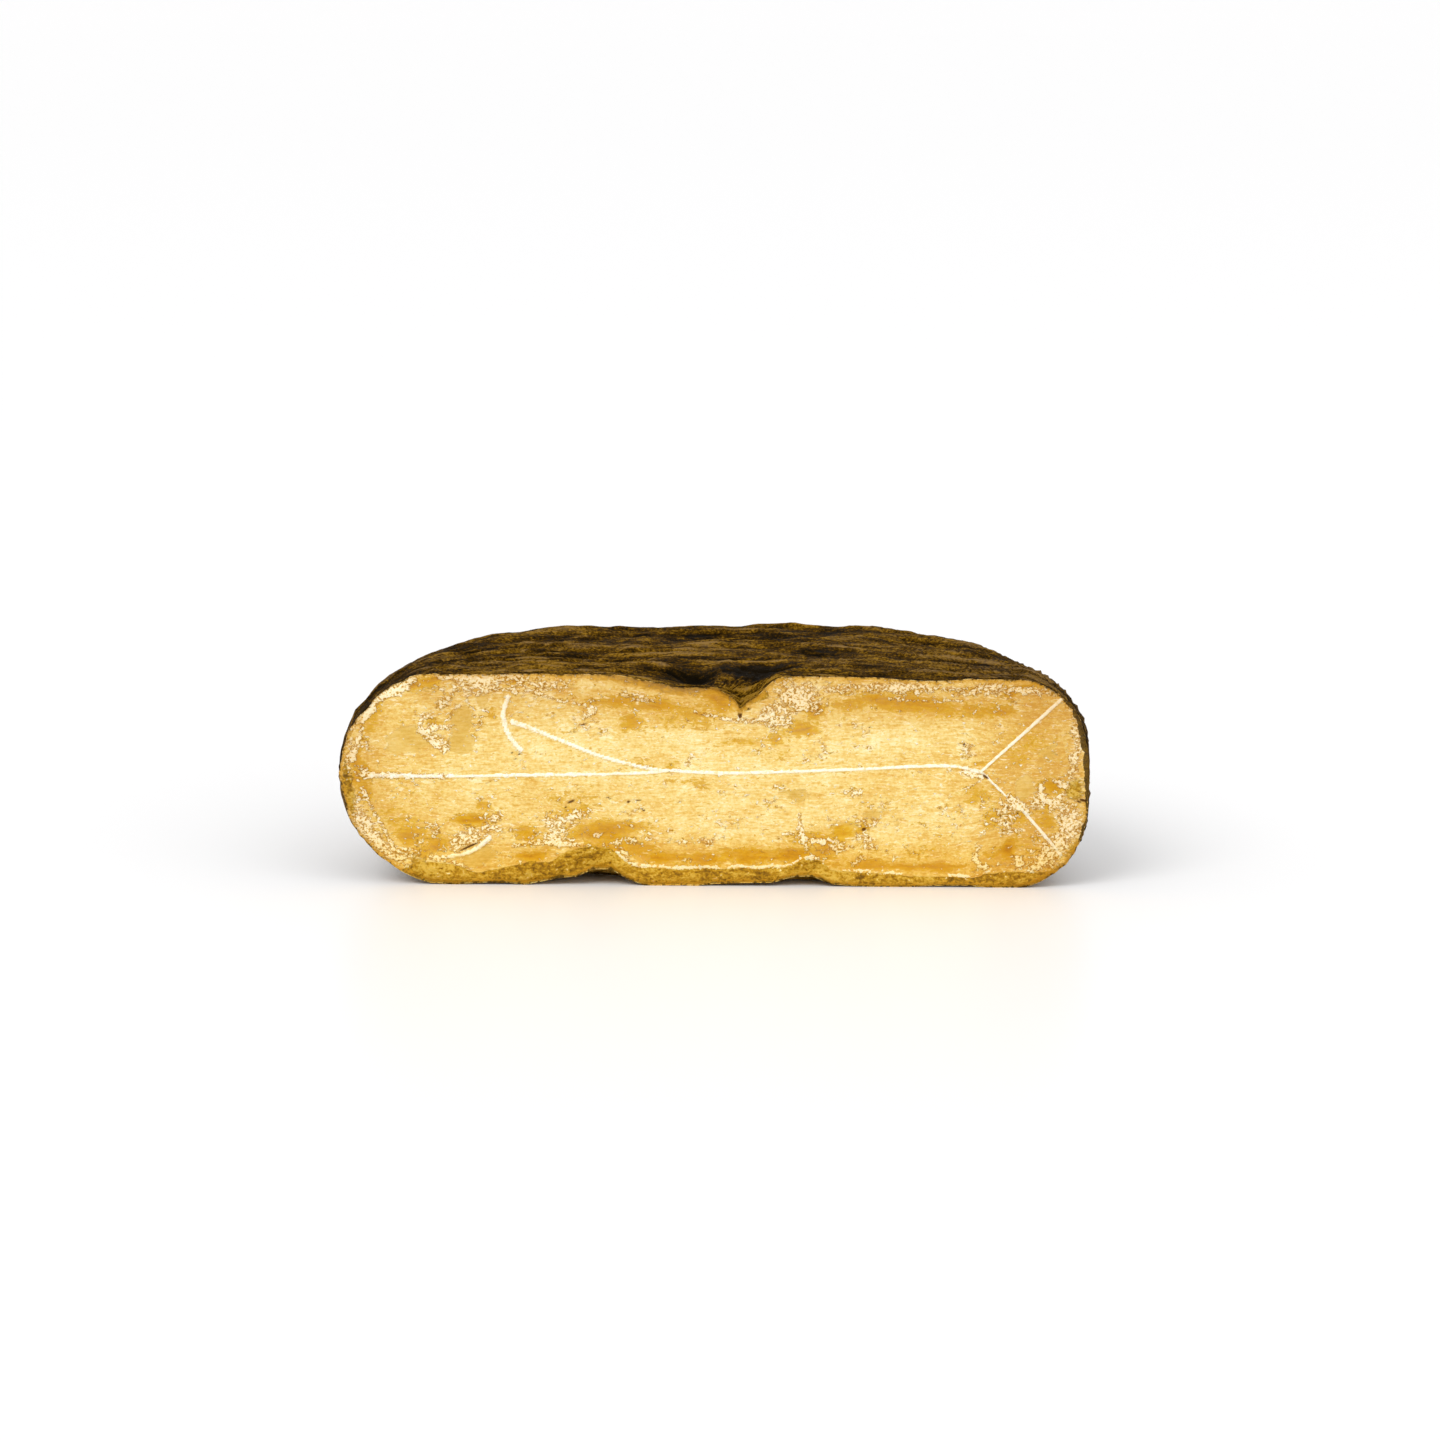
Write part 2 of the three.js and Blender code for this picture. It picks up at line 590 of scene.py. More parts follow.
    def numbers(self) -> Array:
        """Numbers the vertices. All outlines share the hub's two ends.

        Returns:
            Each place's vertex number, by heading and row.
        """
        count = self.places.shape[1]
        numbers = np.arange(self.columns * count).reshape(self.columns, count)
        numbers[:, 0] = numbers[0, 0]
        numbers[:, -1] = numbers[0, -1]
        return numbers

    def chart(self) -> Array:
        """Lays the rind out flat: headings across, and the outline's length
        upwards, with the underside drawn smaller.

        Returns:
            Where each place lies in the bake's image.
        """
        weight = np.where(self.marks["under"].mean(axis=0) > 0.5, 0.35, 1.0)
        stride = np.diff(self.run.mean(axis=0), prepend=0) * weight
        up = np.cumsum(stride) / stride.sum()
        u = 0.02 + 0.96 * self.heading / np.pi + 0 * up
        return stack(u, 0.36 + 0.62 * up)


# The cut face ------------------------------------------------


@dataclass(frozen=True)
class Oval:
    """An oval on the cut face, by its middle, its two half widths, how strong
    or deep it is, and how far it is turned to the left, in degrees."""

    x: float
    z: float
    wide: float
    tall: float
    strength: float = 1.0
    tilt: float = 0.0

    def away(self, x: Array, z: Array) -> Array:
        """How far places are from the oval's middle, in its own widths.

        Args:
            x: places along the face.
            z: places above the table.

        Returns:
            The oval distance, 1 on the oval's outline.
        """
        turn = np.radians(self.tilt)
        along = (x - self.x) * np.cos(turn) + (z - self.z) * np.sin(turn)
        across = (z - self.z) * np.cos(turn) - (x - self.x) * np.sin(turn)
        return np.hypot(along / self.wide, across / self.tall)

    def bell(self, x: Array, z: Array) -> Array:
        """Its strength, fading as a bell with the oval distance."""
        return self.strength * np.exp(-self.away(x, z) ** 2)

    def plate(self, x: Array, z: Array) -> Array:
        """Its strength, even inside and fading across its outline."""
        return self.strength * step(1.5, 0.6, self.away(x, z))

    def dip(self, x: Array, z: Array) -> Array:
        """Its depth, as a hump that ends at its outline."""
        return self.strength * hump(self.away(x, z))

    def pocket(self, x: Array, z: Array) -> Array:
        """Its depth, as one hump across times one hump upwards."""
        return self.strength * hump((x - self.x) / self.wide) * hump((z - self.z) / self.tall)


def ovals(*rows: tuple[float, ...]) -> tuple[Oval, ...]:
    """One oval for each row of its numbers."""
    return tuple(Oval(*row) for row in rows)


@dataclass(frozen=True)
class Strand:
    """A white line where two folds of curd met, which stands proud as a bead."""

    route: tuple[tuple[float, float], ...]
    width: float
    end_width: float
    height: float
    rough: float = 0.2

    def at(self, x: Array, z: Array, ragged: Array) -> tuple[Array, Array]:
        """The bead's height and its whiteness.

        The route is drawn as a smooth curve. The nearest distance to it, over
        the local half width, gives a rounded bead.

        Args:
            x: places along the face.
            z: places above the table.
            ragged: a noise that roughens the bead's sides.

        Returns:
            The height in millimetres, and 0 to 1 for how white it is.
        """
        route = curve(np.array(self.route), 12)
        start, span = route[:-1], np.diff(route, axis=0)
        share = np.linspace(0, 1, len(route))
        nearest = np.full(x.shape, np.inf)
        along = np.zeros(x.shape)
        for index, (origin, way) in enumerate(zip(start, span)):
            part = (x - origin[0]) * way[0] + (z - origin[1]) * way[1]
            part = np.clip(part / (way @ way), 0, 1)
            gap = np.hypot(x - origin[0] - part * way[0], z - origin[1] - part * way[1])
            closer = gap < nearest
            nearest = np.where(closer, gap, nearest)
            along = np.where(closer, share[index] + part / len(span), along)
        half = self.width + (self.end_width - self.width) * along
        half = half / 2 * (1 + self.rough * ragged)
        bead = np.sqrt(np.clip(1 - (nearest / half) ** 2, 0, 1))
        return self.height * bead, step(1.15, 0.85, nearest / half)


def curve(points: Array, pieces: int) -> Array:
    """A smooth curve through points, each stretch a cubic that leaves and
    arrives along the line between the neighbours (Catmull and Rom's rule).

    Args:
        points: the points it goes through.
        pieces: how many straight pieces each stretch is drawn with.

    Returns:
        The points of the curve.
    """
    ends = np.concatenate([2 * points[:1] - points[1:2], points, 2 * points[-1:] - points[-2:-1]])
    before, here, there, after = ends[:-3], ends[1:-2], ends[2:-1], ends[3:]
    t = (np.arange(pieces) / pieces)[None, :, None]
    before, here, there, after = (p[:, None] for p in (before, here, there, after))
    drawn = 0.5 * (
        2 * here
        + (there - before) * t
        + (2 * before - 5 * here + 4 * there - after) * t**2
        + (3 * here - before - 3 * there + after) * t**3
    )
    return np.concatenate([drawn.reshape(-1, points.shape[1]), points[-1:]])


LONG_SEAM = ((-137, 44.7), (-106, 44.5), (-70, 45.2), (-46, 45.7), (-28, 46.3), (-18.5, 47.3),
             (-12, 47.0), (3, 46.4), (23, 46.9), (54, 48.2), (82, 49.6), (94, 49.8), (101, 48.9),
             (107, 47.2))

SEAMS = (
    Strand(LONG_SEAM, 1.4, 1.2, 0.5),
    Strand(((-81, 66.8), (-74, 64.4), (-62, 59.6), (-46, 53.2), (-30, 48.9), (-20, 47.2)),
           2.0, 1.1, 0.8, 0.08),
    Strand(((-82.8, 77.2), (-84.6, 70.5), (-83.4, 63.4), (-80.6, 58.6), (-77.8, 55.6)),
           1.9, 1.9, 0.9, 0.1),
    Strand(((106.8, 47.6), (114, 54.4), (122.4, 62.2), (131, 70.2), (138.6, 77.4)), 1.1, 1.5, 0.6),
    Strand(((107.5, 47), (113, 41.5), (117, 37.6)), 1.0, 0.8, 0.5, 0.35),
    Strand(((123.6, 32), (131, 23.5), (139.4, 13.6)), 1.2, 1.3, 0.6, 0.2),
    Strand(((-106.4, 11.6), (-100, 12.9), (-94.6, 15.6), (-90.2, 19.4)), 1.5, 1.8, 0.9, 0.15),
)

# Trails of dry crumbs: each one's route and its width at the two ends.
TRAILS = tuple(Strand(route, width, end_width, 0.3, 0.3) for route, width, end_width in (
    (((-137, 44.7), (-124, 44.6), (-108, 44.5)), 2.6, 2.2),
    (((-137.4, 74), (-140.4, 67), (-142.4, 60), (-145, 51)), 1.8, 1.8),
    (((-141.6, 39.6), (-137.4, 31.6), (-133, 23.5), (-129.4, 16)), 1.6, 1.6),
    (((-8, 71.4), (0, 69.2), (8, 67.8), (16, 67.8), (23, 70)), 1.7, 1.9),
    (((-114, 11), (-105, 9.4), (-98, 6.2)), 2.4, 1.8),
    (((-117, 69), (-117.4, 63), (-110, 64.4), (-104, 64.6)), 2.0, 1.8),
    (((-118, 63), (-113, 58), (-108, 54.6)), 2.4, 2.0),
    (((118, 37), (123, 33)), 3.0, 3.4),
    (((100, 48.6), (104, 46.6), (108, 46)), 3.0, 2.6),
    (((107, 45), (104, 42), (100, 40.6)), 1.4, 1.2),
    (((107, 17), (104.6, 12), (109, 8)), 1.5, 1.6),
    (((28, 22), (36, 19.6), (44, 18.4)), 1.6, 2.0),
    (((34, 30), (35, 24), (36, 19)), 1.4, 1.6),
    (((-36, 14), (-33.6, 9.6), (-30, 7)), 2.0, 1.6),
    (((-81, 16), (-68, 17.4), (-58, 16.6), (-46, 16.2), (-38, 18)), 1.6, 1.8),
    (((131, 42), (131.4, 37), (137, 36), (141, 41), (136, 44)), 1.6, 1.6),
    (((70, 77), (84, 76), (98, 76.6)), 1.3, 1.3),
    (((-72, 78.6), (-60, 75), (-52, 74)), 1.2, 1.2),
))

# Ovals of dry bloom, amber stain, clear wax, olive skin and paler paste, the last with painted
# shade where their strength is below 0: each has its middle, its two half widths, its strength, and
# its turn in degrees.
OVALS = {
    Mark.CRUST: ovals(
        (-128.6, 79, 8.8, 2.2, 2.4, 31), (-139, 71.4, 5, 2.0, 2.2, 58), (-146, 66, 2, 8, 1.1, -22),
        (-146, 53, 2.4, 7, 1.1, -14), (-140, 58, 3.5, 3.5, 0.9), (-99, 84.4, 18, 1.4, 1.6),
        (-98, 80.5, 11, 3.2, 0.95), (-108, 73, 8, 5, 0.62), (-114, 66, 3, 4, 0.8),
        (-110, 58.5, 4.5, 3.4, 1.3, -35), (-94, 65, 3, 5, 1.0, -10), (-76, 80, 13, 6, 0.86),
        (-60, 81, 9, 4, 0.8, -10), (-92, 82, 4, 3, 0.9), (-49.5, 71.5, 2.6, 2.4, 1.1),
        (-54, 66, 5, 3, 0.62, -40), (-42, 70, 30, 1.6, 0.2), (-26, 76.5, 11, 1.2, 0.95, -6),
        (-139.6, 45.5, 3.4, 3, 1.1), (-143, 44, 2, 4, 0.9), (-142, 36, 3, 4, 0.7, -60),
        (-142, 27, 3.2, 6, 1.5, 28), (-136, 18.5, 3.2, 7, 1.5, 42), (-127, 12, 7, 3.2, 1.25, -30),
        (-119, 14, 5, 4, 0.95, -30), (-113, 21.5, 6, 4.4, 0.85), (-99, 18.8, 9.5, 3.6, 1.7, 24),
        (-90, 27, 4, 3, 0.8, 40), (-86, 21, 4, 5, 0.6), (-91, 33, 6, 1.6, 0.6, -50),
        (-62, 25, 10, 5.5, 0.86), (-64, 18, 9, 2.6, 1.05), (-54, 29, 8, 2.4, 0.8, 20),
        (-43, 46, 4, 2.2, 0.6), (-32.5, 18, 3.4, 2.4, 1.1), (-38, 14.2, 2.6, 2.6, 0.9),
        (-47, 20.4, 2, 1.2, 1.0), (-34, 24.6, 8, 1.4, 0.5, 6), (-7.5, 53.6, 5.5, 2.0, 0.75, 12),
        (-3.4, 18, 3.4, 1.7, 1.1), (-12, 18.4, 5, 1.1, 0.8), (-21, 22, 9, 3, 0.45),
        (31, 77.5, 9.5, 5.5, 1.35, 12), (36, 74.4, 4.6, 4, 1.0), (21, 69, 9, 4.6, 0.85, 12),
        (28, 66, 5, 4, 0.7, -30), (18, 58, 3, 1.3, 0.9), (23, 57.6, 2.2, 2, 0.9),
        (49.6, 65.6, 1.8, 1.4, 0.85), (45, 54, 3, 1.6, 0.5), (60, 81.6, 22, 2.2, 0.95),
        (78, 81.5, 10, 2.6, 0.95), (103, 80.4, 11, 3.2, 1.0), (112, 81.6, 6, 2.4, 0.9),
        (126, 80.4, 9, 1.5, 1.3, -8), (118, 76, 9, 4, 0.42), (142, 74, 3, 6, 0.9, 30),
        (145, 60, 2.6, 11, 1.2), (143.4, 50, 2.4, 5, 1.0), (139, 43.6, 6, 3.6, 0.75),
        (131, 38.4, 2.0, 5.4, 0.9), (137, 35, 7, 2.6, 0.95), (129, 33, 5, 2.6, 0.9),
        (143.4, 27, 4.6, 7, 1.6, 14), (140, 20, 6, 4, 1.0, 40), (121, 33.8, 3.4, 2.6, 1.3),
        (116, 31, 8, 5, 0.86), (119, 24.6, 9, 4.4, 0.8), (122.4, 11.2, 4.4, 3.6, 1.3),
        (134, 13.4, 6.4, 5.4, 1.35, 38), (106, 17, 1.6, 9, 0.75, -12), (111, 8.4, 8, 1.4, 0.8, 12),
        (129, 7.4, 9, 1.5, 0.8, 24), (99.8, 58.8, 2.4, 2.4, 0.8), (104, 47.6, 5.5, 2.4, 0.95),
        (114, 42, 6, 3, 0.7, 40), (43, 18.5, 7, 4.6, 0.86), (50, 16, 3, 3.6, 0.8),
        (35, 22, 1.2, 6, 0.8, 10), (29, 19.4, 9, 1.2, 0.8, -18), (42, 11.4, 4, 1.2, 1.3),
        (62, 16.4, 2.8, 1.7, 1.1), (60, 20.6, 3.4, 1.2, 0.9), (61.5, 26.4, 5.5, 1.6, 0.75),
        (52, 37.8, 3, 1.8, 0.9), (58, 38.6, 3, 1.5, 0.9), (25, 41.4, 5, 1.4, 0.6),
        (6.2, 26, 2, 2.2, 0.9), (20, 33, 9, 4, 0.42), (0, 38.6, 6, 1.4, 0.5),
        (74, 12.6, 3, 1.2, 0.5), (92, 30, 12, 7, 0.32),
    ),
    Mark.AMBER: ovals(
        (-114, 82.6, 6, 2.0, 1.2), (-120.6, 82, 2, 2.4, 1.6), (-81, 83.8, 4, 1.2, 1.5),
        (-89, 69.6, 2.6, 2.4, 0.9), (-112, 66.6, 4, 1.6, 0.8), (-138, 68, 3.4, 10, 0.75, -26),
        (-143.4, 51, 2, 4, 1.5), (-140, 47, 2, 2.4, 1.3), (-144, 43, 2.6, 2, 1.2),
        (-140, 38, 3, 4, 1.0), (-125, 25, 10, 6, 0.72, -20), (-122, 19.6, 5, 3, 1.1),
        (-98, 26.8, 8, 2.6, 1.45), (-111, 16.4, 3.4, 3, 1.5), (-117, 12.6, 3, 2, 1.1),
        (-92.6, 32.6, 3, 1.8, 1.1), (-75.6, 21, 4.6, 3.4, 1.45), (-73, 12, 7, 2.3, 1.4),
        (-46, 21.6, 11, 3.8, 1.7), (-36, 24.6, 12, 1.8, 1.1), (-56, 30.4, 8, 2.6, 0.85),
        (-58, 36, 12, 3.4, 0.5), (-42, 15.4, 8, 2.4, 0.9), (-31, 15.6, 7, 2.6, 0.8),
        (-39, 75.2, 11, 2.8, 1.2), (-33.6, 67, 5, 3, 1.15, 20), (-22, 73.6, 6, 1.8, 1.3),
        (-10, 71, 14, 4, 0.6), (-1.4, 77.6, 4.4, 2.4, 1.6), (3.4, 75.4, 3.4, 3.4, 1.8),
        (-12, 66, 13, 3.4, 0.5), (-17, 49.6, 3.6, 1.6, 0.9), (-30, 50.4, 5, 1.4, 0.6),
        (-10, 42.6, 9, 2.2, 0.5), (-4, 39.4, 3, 2.4, 0.5), (40.6, 71.8, 2.4, 2.4, 1.6),
        (35, 64.6, 6.4, 3, 1.35), (24.6, 60.4, 4, 1.8, 1.3), (10, 58.6, 9, 1.6, 0.75),
        (26, 54, 8, 3, 0.55, 20), (52, 74, 8, 4, 0.6), (67, 75.8, 11, 3.0, 1.15),
        (80, 75.4, 9, 2.4, 0.9), (90, 73, 12, 3, 0.72), (106, 72.4, 12, 2.8, 0.72),
        (115, 72, 4, 1.4, 1.1), (118.4, 79.4, 2, 1.9, 1.8), (127, 82.4, 8, 0.9, 1.1),
        (100, 81, 8, 0.8, 1.0), (128, 60, 10, 8, 0.42), (120, 53, 6, 4, 0.5),
        (105, 38.4, 6, 3.4, 0.95), (106, 50.8, 3, 1.0, 1.2), (135.6, 41.6, 4.2, 2.6, 1.4),
        (133, 27, 4.4, 3.4, 1.05, -30), (134, 34, 4, 1.6, 0.9), (118.6, 16.4, 3, 4.6, 1.6),
        (111, 28, 4, 4, 0.95), (122, 29, 3, 3, 0.9), (126, 17, 5, 5, 0.5), (113, 13, 5, 3, 0.7),
        (13, 12.4, 9, 3.6, 1.25), (-5, 11, 8, 3.0, 1.15), (-21, 11.4, 9, 3.2, 1.05),
        (32, 12.6, 9, 3.2, 1.35), (46, 15, 5, 4.4, 1.3), (40, 20, 7, 3, 0.9),
        (52.6, 22.6, 4.6, 3.4, 0.95), (84, 8.2, 16, 1.8, 1.35), (62, 9, 12, 2.4, 0.8),
        (88, 14, 18, 3, 0.45), (60.2, 23.8, 1.6, 1.8, 1.3),
    ),
    Mark.CLEAR: ovals(
        (-101.6, 67, 4.4, 6.4, 1.0, -14), (-101.5, 57.4, 4.6, 3.6, 1.1), (-92.6, 76, 2.6, 3.4, 1.1),
        (-123, 58.6, 9, 5.4, 1.1, 8), (-94.6, 11.6, 7, 4.0, 1.0, 18), (-116, 79.4, 7, 2.6, 0.6),
        (52.4, 23, 5.0, 3.4, 0.9), (49.5, 18, 3, 3, 0.6), (124.4, 41, 3.8, 5.6, 1.1),
        (11, 12.2, 13, 3.6, 0.8), (-20, 11.6, 8, 2.6, 0.7), (32, 12, 7, 2.8, 0.8),
        (-73, 11.4, 6, 2.2, 0.8), (-98, 26.6, 6.6, 1.9, 0.8), (62, 76.4, 5, 3, 0.6),
        (31, 38, 6, 2.6, 0.7), (-46, 20.6, 7, 2.4, 0.7), (-76, 20.4, 4, 2.8, 0.7),
        (135.4, 41.8, 3.4, 2, 0.8), (118.4, 16, 2.4, 3.6, 0.8), (66, 28, 9, 5, 0.5),
        (134, 57, 5, 5, 0.55),
    ),
    Mark.OLIVE: ovals(
        (18, 77.4, 4.6, 2.0, 1.1, 24), (11, 72.6, 3, 1.6, 0.7), (-147, 39.6, 2.6, 5.6, 1.2),
        (-146.6, 33, 1.2, 5, 0.9, 20), (-107, 4.6, 6.6, 3.2, 1.1, -12), (-118, 7, 7, 3.4, 0.8, -28),
        (145, 41, 3.6, 4, 1.1), (-148.4, 47, 1.0, 5, 0.7), (146, 17, 1.6, 6, 0.9, -40),
        (138, 8, 2, 5, 0.5, -50),
    ),
    # Paler paste in the middle of the face; the ovals below 0 are painted shade towards its ends, top
    # and bottom.
    Mark.PALE_AND_SHADE: ovals(
        (-10, 50, 60, 12, 0.05), (55, 57, 40, 9, 0.05), (-18, 60, 16, 5, 0.04),
        (90, 62, 22, 5, 0.04), (-76, 52, 34, 12, 0.05), (10, 30, 40, 8, 0.05),
        (82, 25, 22, 6, 0.04), (-128, 55, 22, 30, -0.08), (-115, 34, 18, 8, -0.02),
        (-45, 16, 30, 8, -0.08), (127, 48, 20, 34, -0.13), (0, 8, 120, 5, -0.07),
        (-20, 74, 40, 5, -0.05), (100, 74, 30, 5, -0.05),
    ),
}

# Cracks and pits, by the same numbers, with the depth as the strength.
PITS = ovals(
    (-98.6, 15.4, 8.0, 0.7, 1.2, 25), (-57.4, 34.2, 3.2, 0.9, 1.0, 22), (-59.6, 32, 0.9, 0.7, 1.1),
    (-52.6, 65.9, 2.4, 0.6, 1.0, 15), (-42.4, 35.8, 1.9, 0.55, 1.0, -15),
    (-34.6, 34.2, 1.3, 0.9, 1.2, 5), (-31, 34.8, 3.2, 0.5, 0.9, 5),
    (-28.6, 30.9, 2.2, 0.6, 1.1, -32), (-14, 34.4, 1.8, 0.6, 1.0, 10),
    (-18.2, 46.9, 0.9, 0.5, 0.8, -20), (-31, 48.6, 0.8, 0.5, 0.8),
    (-78.4, 53.6, 1.3, 0.6, 1.1, -20), (-81.4, 54, 0.9, 0.6, 1.0, 30), (-79.6, 51.6, 0.8, 0.6, 0.8),
    (60.2, 23.6, 1.5, 1.2, 1.2, 20), (51.6, 38, 0.8, 0.5, 0.8), (57.4, 39, 0.9, 0.5, 0.8),
    (6, 26.4, 0.7, 0.5, 0.7), (61.8, 65.4, 1.2, 0.4, 0.9), (99.8, 58.6, 0.7, 0.9, 1.3),
    (108.6, 45.6, 2.6, 0.8, 1.1, -40), (117.6, 33, 1.2, 0.8, 0.8, -40),
    (115, 29.2, 0.6, 2.0, 0.8, 12), (121.6, 30.6, 0.9, 0.7, 1.0), (117, 26.6, 0.8, 0.7, 1.0),
    (147.4, 35.8, 3.0, 0.8, 2.4, -6), (10, 69.6, 1.0, 1.6, 1.6), (13.4, 72.4, 1.2, 0.8, 1.0),
    (23.6, 65.8, 0.8, 0.7, 0.9), (137, 79.4, 0.6, 0.6, 0.8), (-65, 66.4, 0.7, 0.5, 0.6),
    (-110, 6.8, 1.8, 0.5, 0.9, -20),
)

# The top of the turned-under band along the bottom: places and their levels.
BAND = ((-150, -6), (-134, 1), (-128, 5), (-116, 9), (-104, 8), (-96, 5.4), (-85, 7), (-76, 9.4),
        (-66, 9.8), (-59, 14), (-49, 16), (-41, 14.4), (-35, 9.4), (-28, 7.4), (-6, 7.2),
        (18, 7.2), (30, 8.2), (36, 11), (43, 10.6), (48, 6.8), (62, 5.8), (84, 4.6), (102, 4.2),
        (110, 5.6), (120, 6.6), (129, 6.2), (138, 7), (150, 8))


@dataclass
class CutFace:
    """The upright cut: rings around the long seam, out to the rind."""

    wheel: Wheel
    border: Array
    reach: float = 107.0
    columns: int = 300
    cap_steps: int = 168
    rings: int = 70
    inset: float = 0.55
    middle: float = 46.0
    seam_break: tuple[float, float] = (-108.2, 44.6)
    recesses: tuple[Oval, ...] = (Oval(-48, 10.5, 13, 6, 1.0), Oval(39, 7.5, 8, 4.4, 1.4))
    band_curl: float = 0.028
    edge_rounding: float = 0.6
    least_out: float = -9.0
    most_out: float = 0.95
    seed: int = 41
    along: Array = field(init=False)
    spine_z: Array = field(init=False)
    edge: Array = field(init=False)
    places: Array = field(init=False)
    marks: dict[str, Array] = field(init=False)

    def __post_init__(self) -> None:
        """Lays out the rings, then works out the relief and the masks."""
        self.along = np.linspace(-self.reach, self.reach, self.columns)
        self.spine_z = np.interp(self.along, *curve(np.array(LONG_SEAM), 12).T)
        anchor, ray, length = self._rays()
        ring = self._ring_shares()[:, None]
        self.edge = length * (1 - ring) + self.inset
        x, z = np.moveaxis(anchor + (ring * length)[..., None] * ray, -1, 0)
        self.places, self.marks = self._relief(x, z)

    def _cap_angles(self) -> Array:
        """Angles across an end's half turn, closest where a seam leaves.

        Returns:
            The angles between straight up and straight down, both left out.
        """
        fine = np.linspace(np.pi / 2, -np.pi / 2, 2000)
        crowd = 1 + 3.5 * np.exp(-((np.abs(fine) - 0.76) / 0.05) ** 2)
        share = np.cumsum(crowd) - crowd[0]
        wanted = np.linspace(0, share[-1], self.cap_steps + 1)[1:-1]
        return np.interp(wanted, share, fine)

    def _rays(self) -> tuple[Array, Array, Array]:
        """The ray from the spine to the border for each place in a ring.

        Rays go straight up along the top, fan out around the right end of the
        spine, go straight down along the bottom, and fan around the left end.

        Returns:
            Each ray's start on the spine, its direction, and its length.
        """
        caps = self._cap_angles()
        up = np.full(self.columns, np.pi / 2)
        angle = np.concatenate([up, caps, -up, caps - np.pi])
        anchor = stack(self.along, self.spine_z)[self.spine_numbers()]
        ray = stack(np.cos(angle), np.sin(angle))
        length = ray_lengths(anchor, ray, self.border) - self.inset
        return anchor, ray, length

    def spine_numbers(self) -> Array:
        """Ties the places in a ring to the places on the spine.

        Returns:
            Which place on the spine each place in a ring belongs to.
        """
        count = self.cap_steps - 1
        spine = np.arange(self.columns)
        last = np.full(count, self.columns - 1)
        return np.concatenate([spine, last, spine[::-1], np.zeros(count, int)])

    def _ring_shares(self) -> Array:
        """How far out the rings lie, 0 to 1. The first are closer, for the bead."""
        share = np.linspace(0, 1, self.rings + 1)
        return share * (1 - 0.55 * np.exp(-12 * share) * (1 - share))

    def _flow(self, x: Array, z: Array) -> Array:
        """Where a place lies in the drawn curd: the fibres run level, sag
        under the navel and turn with the two ends of the wheel.

        Args:
            x: places along the face.
            z: places above the table.

        Returns:
            A number that is the same along each fibre.
        """
        up = (z - self.middle) / 40
        sag = 7.0 * hump((x - 4) / 62) * np.clip(up, 0, 1) ** 2
        fan = 0.10 * np.clip(np.abs(x) - 95, 0, None) * up
        bend = Noise(self.seed).fractal(stack(x / 45, z / 30, 0 * x), 2)
        return z + sag + fan + 2.6 * bend

    def _band(self, x: Array, z: Array, grain: Array, patchy: Array) -> tuple[Array, Array, Array]:
        """The turned-under band along the bottom.

        Args:
            x: places along the face.
            z: places above the table.
            grain: a fine noise that roughens its top.
            patchy: a noise that breaks up the pale line above it.

        Returns:
            The level of its top, how far a place is in it, and its pale line.
        """
        level = np.interp(x, *curve(np.array(BAND, float), 10).T)
        level = level + 1.1 * Noise(self.seed + 8).fractal(stack(x / 12, 0 * x, 0 * x), 3)
        under = step(0.9, -0.9, z - level + 0.5 * grain)
        line = hump((z - level - 0.7 - 0.7 * grain) / 1.1) * step(-0.3, 0.2, patchy)
        return level, under, line * step(-46, -36, x) * step(142, 118, x)

    def _seams(self, x: Array, z: Array, ragged: Array) -> tuple[Array, Array, Array]:
        """The white seams, with the break in the long one, and the trails of
        crumbs.

        Args:
            x: places along the face.
            z: places above the table.
            ragged: a noise that roughens their edges.

        Returns:
            The seams' height, their whiteness, and how thick the crumbs lie.
        """
        bead, white = 0 * x, 0 * x
        for seam in SEAMS:
            height, mask = seam.at(x, z, ragged)
            bead, white = np.maximum(bead, height), np.maximum(white, mask)
        gap = hump((x - self.seam_break[0]) / 1.3) * hump((z - self.seam_break[1]) / 3)
        crumbs = sum(trail.at(x, z, ragged)[1] for trail in TRAILS)
        return bead * (1 - gap), white * (1 - gap), crumbs

    def _fringes(self, x: Array, z: Array) -> tuple[Array, Array]:
        """How far in from the edge the two fringes reach.

        Args:
            x: places along the face.
            z: places above the table.

        Returns:
            The width of the dark skin, and that of the golden paste under it.
        """
        right = step(118, 136, x)
        skin = 0.4 + 2.1 * hump((z - 55) / 28) * right + 1.0 * hump((z - 23) / 6) * right
        golden = 1.6 + 2.4 * hump((x + 14) / 60) * step(50, 60, z) + 0.8 * right * step(25, 5, z)
        return skin, golden - 1.2 * hump((x + 130) / 16) * step(60, 66, z)

    def _relief(self, x: Array, z: Array) -> tuple[Array, dict[str, Array]]:
        """How far the face stands out, and what it is made of at each place.

        Args:
            x: places along the face.
            z: places above the table.

        Returns:
            The places of the rings, and the masks that the finish reads.
        """
        flow = self._flow(x, z)

        def noise(number: int, wide: float, level: Array, *rest: float) -> Array:
            """Fractal noise with its own seed, its length, and its other way."""
            return Noise(self.seed + number).fractal(stack(x / wide, level, 0 * x), *rest)

